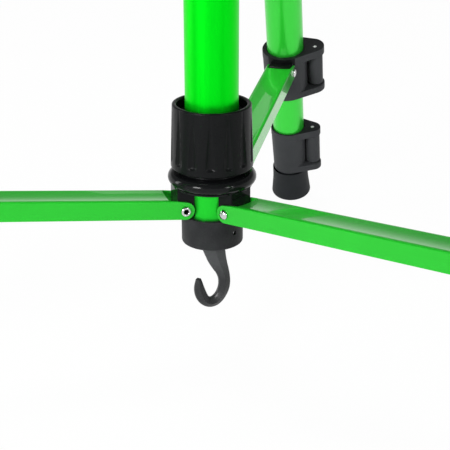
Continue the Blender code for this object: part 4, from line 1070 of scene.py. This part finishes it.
class TRIPOD_OT_feet(bpy.types.Operator):
    """Flared rubber feet with a ringed tread."""

    bl_idname = "tripod.feet"
    bl_label = "Feet"

    def execute(self, context):
        size = sizes()
        low = -size.foot_height
        socket = clamp_sizes()["lower"]["inner"] + CLEARANCE
        waist = (FOOT_WAIST_RADIUS, low + FOOT_WAIST_HEIGHT, FOOT_WAIST_ROUND)
        profile = [(FOOT_TOP_RADIUS, 0, SOFT), waist, (size.foot_radius, low, FOOT_EDGE)]
        for radius in TREAD_RINGS:
            profile += [(radius + TREAD_GROOVE, low), (radius + TREAD_GROOVE / 2, low + TREAD_GROOVE)]
            profile += [(radius, low)]
        profile += [(0, low), (0, -FOOT_SOCKET), (socket, -FOOT_SOCKET), (socket, 0)]
        spot = (size.leg_offset, 0, foot_top())
        place_on_legs("foot", turned(profile, ring=False), "black_vulcanised_rubber", spot)
        return {"FINISHED"}


# Crown, leg heads and column lock
LEG_HINGE_RADIUS = 0.042
HEAD_NECK = 0.0220
HEAD_CAP_RADIUS = 0.0134
HEAD_CAP_HEIGHT = 0.0060
HEAD_PLUG = 0.0240
MIDDLE_TUBE_INSET = 0.0414
LOWER_TUBE_INSET = 0.0400
TONGUE_WIDTH = 0.0150
TONGUE_REACH = 0.0088
TONGUE_SINK = 0.0008
HINGE_PIN_RADIUS = 0.0023
SADDLE_FLARE = radians(14)
SADDLE_DIRECTION = radians(137)
CLEVIS_CHEEK = 0.0040
CLEVIS_RADIUS = 0.0080
CROWN_WALL = 0.0052
CROWN_SKIRT = 0.0220
CROWN_TOP = 0.0140
CROWN_LIP = 0.0036
CROWN_EDGE = 0.0010
LOCK_AZIMUTH = radians(270)
LOCK_BOSS_RADIUS = 0.0072
LOCK_BOSS_REACH = 0.0270
LOCK_SCREW_RADIUS = 0.0030
KNOB_HEIGHT = 0.0120
KNOB_LOBE = 0.0016
KNOB_LOBES = 6
KNOB_LOBE_STEPS = 24
KNOB_EDGE = 0.0012
KNOB_DISH_DEPTH = 0.0008
KNOB_DISH_SHARE = 0.6


def leg_rise():
    """Distance along a leg from its arm pivot to its hinge on the crown."""
    axis_radius = LEG_PIVOT_RADIUS + sizes().leg_offset * cos(LEG_SPLAY)
    return (axis_radius - LEG_HINGE_RADIUS) / sin(LEG_SPLAY)


def column_radius():
    """Outer radius of the column, which slides in the centre tube."""
    size = sizes()
    return size.tube_radius - size.tube_wall - SLIDE_GAP


def leg_head():
    """Plug in the top of a leg with a tongue on the hinge axis, open inwards and upwards round its pin."""
    size = sizes()
    shoulder = -HEAD_NECK
    crest = shoulder + HEAD_CAP_HEIGHT
    plug = size.upper_tube_radius - size.leg_wall - CLEARANCE
    profile = [(0, crest), (HEAD_CAP_RADIUS, crest, BROAD), (HEAD_CAP_RADIUS, shoulder, CRISP)]
    profile += [(plug, shoulder), (plug, shoulder - HEAD_PLUG, FULL), (0, shoulder - HEAD_PLUG)]
    body = turned(profile, ring=False)
    root = shoulder + TONGUE_SINK
    outline = [*arc(0, 0, TONGUE_REACH, 0, pi), (-TONGUE_REACH, root), (TONGUE_REACH, root)]
    tongue = upright_plate(outline, TONGUE_WIDTH, SMOOTH)
    seat = HINGE_PIN_RADIUS + CLEARANCE
    half = pi / 2 - SADDLE_FLARE
    mouth = 2 * TONGUE_REACH
    spread = seat + mouth * sin(SADDLE_FLARE)
    outline = [*arc(0, 0, seat, half, 2 * pi - half), (mouth, -spread), (mouth, spread)]
    saddle = upright_plate(outline, 2 * TONGUE_WIDTH)
    return cut(joined(body, tongue), moved(saddle, spun(-SADDLE_DIRECTION, "Y")))


def crown():
    """Shoulder casting round the tube's top: a clevis for each leg and a boss for the column lock."""
    size = sizes()
    bore = size.tube_radius + CLEARANCE
    outer = bore + CROWN_WALL
    gap = TONGUE_WIDTH + 2 * CLEARANCE
    width = gap + 2 * CLEVIS_CHEEK
    profile = [(0, CROWN_TOP), (outer, CROWN_TOP, CROWN_EDGE), (outer, -CROWN_SKIRT, CROWN_EDGE)]
    body = turned([*profile, (0, -CROWN_SKIRT)], ring=False)
    low = CROWN_EDGE - CROWN_SKIRT
    ear = arc(LEG_HINGE_RADIUS, 0, CLEVIS_RADIUS, -pi / 2, pi / 2)
    outline = [(0, CLEVIS_RADIUS), (0, low), (outer, low), *ear]
    for leg in range(LEG_COUNT):
        body = joined(body, moved(upright_plate(outline, width, CROWN_EDGE), around(leg)))
    body = joined(body, radial_bar(LOCK_BOSS_RADIUS, 0, LOCK_BOSS_REACH, LOCK_AZIMUTH, 0, SOFT))
    for leg in range(LEG_COUNT):
        past = (2 * LEG_HINGE_RADIUS, gap / 2, 2 * CROWN_TOP)
        slot = block((outer + CLEARANCE, -gap / 2, -2 * CROWN_SKIRT), past)
        hole = moved(cross_bar(HINGE_PIN_RADIUS + CLEARANCE, 2 * width), shifted(LEG_HINGE_RADIUS, 0, 0))
        body = cut(body, moved(slot, around(leg)), moved(hole, around(leg)))
    seat = CROWN_TOP - CROWN_LIP
    column_bore = column_radius() + CLEARANCE
    profile = [(0, 2 * CROWN_TOP), (column_bore, 2 * CROWN_TOP), (column_bore, seat), (bore, seat)]
    core = turned([*profile, (bore, -2 * CROWN_SKIRT), (0, -2 * CROWN_SKIRT)], ring=False)
    screw = radial_bar(LOCK_SCREW_RADIUS + CLEARANCE, 0, 2 * LOCK_BOSS_REACH, LOCK_AZIMUTH, 0)
    return cut(body, core, screw)


def lock_knob():
    """Lobed thumb screw along X from the centre line, with a sunk face."""
    size = sizes()
    head = LOCK_BOSS_REACH + CLEARANCE
    steps = KNOB_LOBES * KNOB_LOBE_STEPS
    turns = [2 * pi * step / steps for step in range(steps)]
    rim = [size.knob_radius - KNOB_LOBE * (1 + cos(KNOB_LOBES * turn)) / 2 for turn in turns]
    outline = [(radius * cos(turn), radius * sin(turn)) for radius, turn in zip(rim, turns)]
    grip = plate(outline, head, head + KNOB_HEIGHT, KNOB_EDGE, 4)
    floor = head + KNOB_HEIGHT - KNOB_DISH_DEPTH
    dish = rod(size.knob_radius * KNOB_DISH_SHARE, floor, head + 2 * KNOB_HEIGHT, TUBE_SIDES)
    shank = rod(LOCK_SCREW_RADIUS, column_radius() + CLEARANCE, head + KNOB_HEIGHT / 2, edge=FINE)
    return moved(joined(cut(grip, dish), shank), spun(pi / 2, "Y"))


class TRIPOD_OT_crown(bpy.types.Operator):
    """Crown with its hinge pins, the leg heads and the column lock."""

    bl_idname = "tripod.crown"
    bl_label = "Crown and Leg Heads"

    def execute(self, context):
        finish, slot = "grained_black_nylon", "black_nylon"
        place("crown", crown(), finish, at_height(HINGE_HEIGHT))
        width = TONGUE_WIDTH + 2 * CLEARANCE + 2 * CLEVIS_CHEEK
        for leg in range(LEG_COUNT):
            spot = around(leg) @ shifted(LEG_HINGE_RADIUS, 0, HINGE_HEIGHT)
            pin = cross_bar(HINGE_PIN_RADIUS, width, FINE)
            place(f"leg_hinge_pin_{leg + 1}", pin, "bright_zinc_plated_steel", spot)
        place_on_legs("leg_head", leg_head(), finish, (sizes().leg_offset, 0, leg_rise()))
        spot = at_height(HINGE_HEIGHT) @ spun(LOCK_AZIMUTH)
        place("column_knob", lock_knob(), finish, spot)
        return {"FINISHED"}


# Instrument platform, heights above the top of the column
PLATFORM_HEIGHT = 0.0070
PLATFORM_PLUG = 0.0140
PAD_HEIGHT = 0.0020
PAD_BORE = 0.0070
PAD_MARGIN = 0.0012
PAD_GROOVES = 5
PAD_GROOVE_HALF = 0.0004
PAD_GROOVE_DEPTH = 0.0006
STUD_RADIUS = 0.003175
STUD_RISE = 0.0055
STUD_HEAD_RADIUS = 0.0058
STUD_HEAD_HEIGHT = 0.0035
STUD_CHAMFER = 0.0006
THREAD_PITCH = 0.00127
THREAD_DEPTH = 0.0006


def platform():
    """Round plate with a plug down into the column and a counterbore for the mounting screw."""
    size = sizes()
    plug = column_radius() - size.tube_wall - CLEARANCE
    screw_bore, head_bore = STUD_RADIUS + CLEARANCE, STUD_HEAD_RADIUS + CLEARANCE
    floor = PLATFORM_HEIGHT / 2
    radius = size.platform_radius
    profile = [(radius, PLATFORM_HEIGHT, FULL), (radius, 0, BROAD), (plug, 0), (plug, -PLATFORM_PLUG, SOFT)]
    profile += [(head_bore, -PLATFORM_PLUG), (head_bore, floor), (screw_bore, floor)]
    return turned([*profile, (screw_bore, PLATFORM_HEIGHT)])


def platform_pad():
    """Soft pad on the plate, open round the mounting screw and grooved in rings."""
    low = PLATFORM_HEIGHT + CLEARANCE
    high = low + PAD_HEIGHT
    radius = sizes().platform_radius - PAD_MARGIN
    pitch = (radius - PAD_BORE) / (PAD_GROOVES + 1)
    profile = [(PAD_BORE, low), (PAD_BORE, high, CRISP)]
    for groove in range(1, PAD_GROOVES + 1):
        middle = PAD_BORE + pitch * groove
        profile += [(middle - PAD_GROOVE_HALF, high), (middle, high - PAD_GROOVE_DEPTH)]
        profile += [(middle + PAD_GROOVE_HALF, high)]
    return turned([*profile, (radius, high, FINE), (radius, low)])


def mounting_screw():
    """Quarter-inch stud with its head under the plate's web, ringed by its thread."""
    seat = PLATFORM_HEIGHT / 2 - CLEARANCE
    under = seat - STUD_HEAD_HEIGHT
    root = STUD_RADIUS - THREAD_DEPTH
    end = PLATFORM_HEIGHT + CLEARANCE + PAD_HEIGHT + STUD_RISE
    profile = [(0, end), (STUD_RADIUS - STUD_CHAMFER, end), (STUD_RADIUS, end - STUD_CHAMFER)]
    for turn in range(int((end - STUD_CHAMFER - seat) / THREAD_PITCH) - 1):
        crest = end - STUD_CHAMFER - THREAD_PITCH * turn
        profile += [(root, crest - THREAD_PITCH / 2), (STUD_RADIUS, crest - THREAD_PITCH)]
    profile += [(STUD_RADIUS, seat), (STUD_HEAD_RADIUS, seat), (STUD_HEAD_RADIUS, under, FINE), (0, under)]
    return turned(profile, ring=False)


class TRIPOD_OT_platform(bpy.types.Operator):
    """Instrument platform with its pad and mounting screw."""

    bl_idname = "tripod.platform"
    bl_label = "Platform"

    def execute(self, context):
        spot = at_height(HINGE_HEIGHT + CROWN_TOP + CLEARANCE)
        place("platform", platform(), "grained_black_nylon", spot)
        place("platform_pad", platform_pad(), "black_vulcanised_rubber", spot)
        place("mounting_screw", mounting_screw(), "bright_zinc_plated_steel", spot)
        return {"FINISHED"}


# Studio, with the camera where the photograph was taken from
CAMERA_SPOT = (0.1338, -0.5425, 0.2215)
CAMERA_TILT = radians(67.18)
CAMERA_PAN = radians(13.15)
CAMERA_LENS = 89.4
FLOOR_SIZE = 6.0
FLOOR_WHITE = "#F4F4F4"
SHADOW_SHARE = 0.04
SWEEP_TOP = radians(9)
SWEEP_FADE = 0.18
CEILING_SHARE = 0.2
WORLD_LIGHT = 0.35
LAMPS = (
    # name, place, width, height, watts
    ("Key softbox", (-0.8, -1.65, 0.75), 0.6, 0.6, 31.0),
    ("Fill softbox", (1.6, -0.92, 0.75), 0.6, 0.6, 14.5),
    ("Side strip", (-1.8, -0.1, 0.5), 0.3, 1.2, 8.0),
    ("Top softbox", (-0.3, 0.3, 1.8), 0.6, 0.6, 9.0),
    ("Back softbox", (-0.38, 1.6, 0.98), 0.16, 0.22, 0.1),
)


class TRIPOD_OT_stage(bpy.types.Operator):
    """Pale floor, soft lamps and the camera."""

    bl_idname = "tripod.stage"
    bl_label = "Stage"

    def execute(self, context):
        scene = context.scene
        scene.view_settings.view_transform = "Standard"
        self.make_floor(scene)
        self.make_light(scene)
        camera = bpy.data.cameras.new("Camera")
        camera.lens = CAMERA_LENS
        view = bpy.data.objects.new("Camera", camera)
        view.location = (CAMERA_SPOT[0], CAMERA_SPOT[1], HUB_HEIGHT + CAMERA_SPOT[2])
        view.rotation_euler = (CAMERA_TILT, 0, CAMERA_PAN)
        scene.collection.objects.link(view)
        scene.camera = view
        return {"FINISHED"}

    def make_floor(self, scene):
        """Matt white sweep that is bright to the camera and still takes the object's shadow."""
        shape = bmesh.new()
        bmesh.ops.create_grid(shape, x_segments=1, y_segments=1, size=FLOOR_SIZE)
        mesh = bpy.data.meshes.new("Floor")
        shape.to_mesh(mesh)
        shape.free()
        finish = bpy.data.materials.new("matt_white_sweep")
        finish.use_nodes = True
        tree = finish.node_tree
        tree.nodes.remove(tree.nodes["Principled BSDF"])
        paper = add(tree, "ShaderNodeBsdfDiffuse", {"Color": (*linear(FLOOR_WHITE), 1)}).outputs[0]
        glow = add(tree, "ShaderNodeEmission", {"Color": (1, 1, 1, 1), "Strength": 1.0}).outputs[0]
        seen = {0: seen_by_eye(tree), 1: 1 - SHADOW_SHARE}
        part = add(tree, "ShaderNodeMath", seen, operation="MULTIPLY").outputs[0]
        both = add(tree, "ShaderNodeMixShader", {0: part, 1: paper, 2: glow})
        tree.links.new(both.outputs[0], tree.nodes["Material Output"].inputs["Surface"])
        mesh.materials.append(finish)
        floor = bpy.data.objects.new("Floor", mesh)
        scene.collection.objects.link(floor)

    def make_light(self, scene):
        """White walls up to the height of the sweep, a dim ceiling, and softboxes aimed at the hub."""
        world = bpy.data.worlds.new("Studio")
        world.use_nodes = True
        scene.world = world
        tree = world.node_tree
        way = add(tree, "ShaderNodeTexCoord")
        rise = add(tree, "ShaderNodeSeparateXYZ", {0: way.outputs["Generated"]})
        fade = {1: sin(SWEEP_TOP), 2: sin(SWEEP_TOP) + SWEEP_FADE, 3: 1.0, 4: CEILING_SHARE}
        level = add(tree, "ShaderNodeMapRange", {0: rise.outputs["Z"], **fade})
        light = add(tree, "ShaderNodeMix", {0: seen_by_eye(tree), 2: WORLD_LIGHT, 3: level.outputs[0]})
        camera = add(tree, "ShaderNodeLightPath").outputs["Is Camera Ray"]
        backdrop = add(tree, "ShaderNodeMath", {0: light.outputs[0], 1: camera}, operation="MAXIMUM")
        tree.links.new(backdrop.outputs[0], tree.nodes["Background"].inputs["Strength"])
        tree.nodes["Background"].inputs["Color"].default_value = (1, 1, 1, 1)
        for name, spot, width, height, watts in LAMPS:
            lamp = bpy.data.lights.new(name, "AREA")
            lamp.shape = "RECTANGLE"
            lamp.size = width
            lamp.size_y = height
            lamp.energy = watts
            thing = bpy.data.objects.new(name, lamp)
            thing.location = spot
            aim = Vector((0, 0, HUB_HEIGHT)) - Vector(spot)
            thing.rotation_euler = aim.to_track_quat("-Z", "Y").to_euler()
            scene.collection.objects.link(thing)


def seen_by_eye(tree):
    """1 for rays from the camera, and for those that a glossy or clear surface sends on."""
    rays = add(tree, "ShaderNodeLightPath").outputs
    seen = rays["Is Camera Ray"]
    for kind in ("Is Glossy Ray", "Is Transmission Ray"):
        seen = add(tree, "ShaderNodeMath", {0: seen, 1: rays[kind]}, operation="MAXIMUM").outputs[0]
    return seen


class VIEW3D_PT_tripod(bpy.types.Panel):
    """Sizes, colours and pieces of the tripod."""

    bl_label = "Folding Tripod"
    bl_space_type = "VIEW_3D"
    bl_region_type = "UI"
    bl_category = "Tripod"

    def draw(self, context):
        layout = self.layout
        for group in (context.scene.tripod_sizes, context.scene.tripod_finishes):
            for name in group.__annotations__:
                layout.prop(group, name)
        for maker in MAKERS:
            layout.operator(maker.bl_idname)


MAKERS = (
    TRIPOD_OT_stage, TRIPOD_OT_finishes, TRIPOD_OT_tubes, TRIPOD_OT_end_cap, TRIPOD_OT_hub, TRIPOD_OT_arms,
    TRIPOD_OT_clamps, TRIPOD_OT_feet, TRIPOD_OT_crown, TRIPOD_OT_platform,
)
CLASSES = (TripodSizes, TripodFinishes, *MAKERS, VIEW3D_PT_tripod)


def register():
    """Add the classes and the scene's settings."""
    for item in CLASSES:
        bpy.utils.register_class(item)
    bpy.types.Scene.tripod_sizes = PointerProperty(type=TripodSizes)
    bpy.types.Scene.tripod_finishes = PointerProperty(type=TripodFinishes)


def unregister():
    """Remove the scene's settings and the classes."""
    del bpy.types.Scene.tripod_finishes
    del bpy.types.Scene.tripod_sizes
    for item in reversed(CLASSES):
        bpy.utils.unregister_class(item)


def main():
    """Make every piece in order."""
    register()
    for maker in MAKERS:
        group, name = maker.bl_idname.split(".")
        getattr(getattr(bpy.ops, group), name)()


if __name__ == "__main__":
    main()
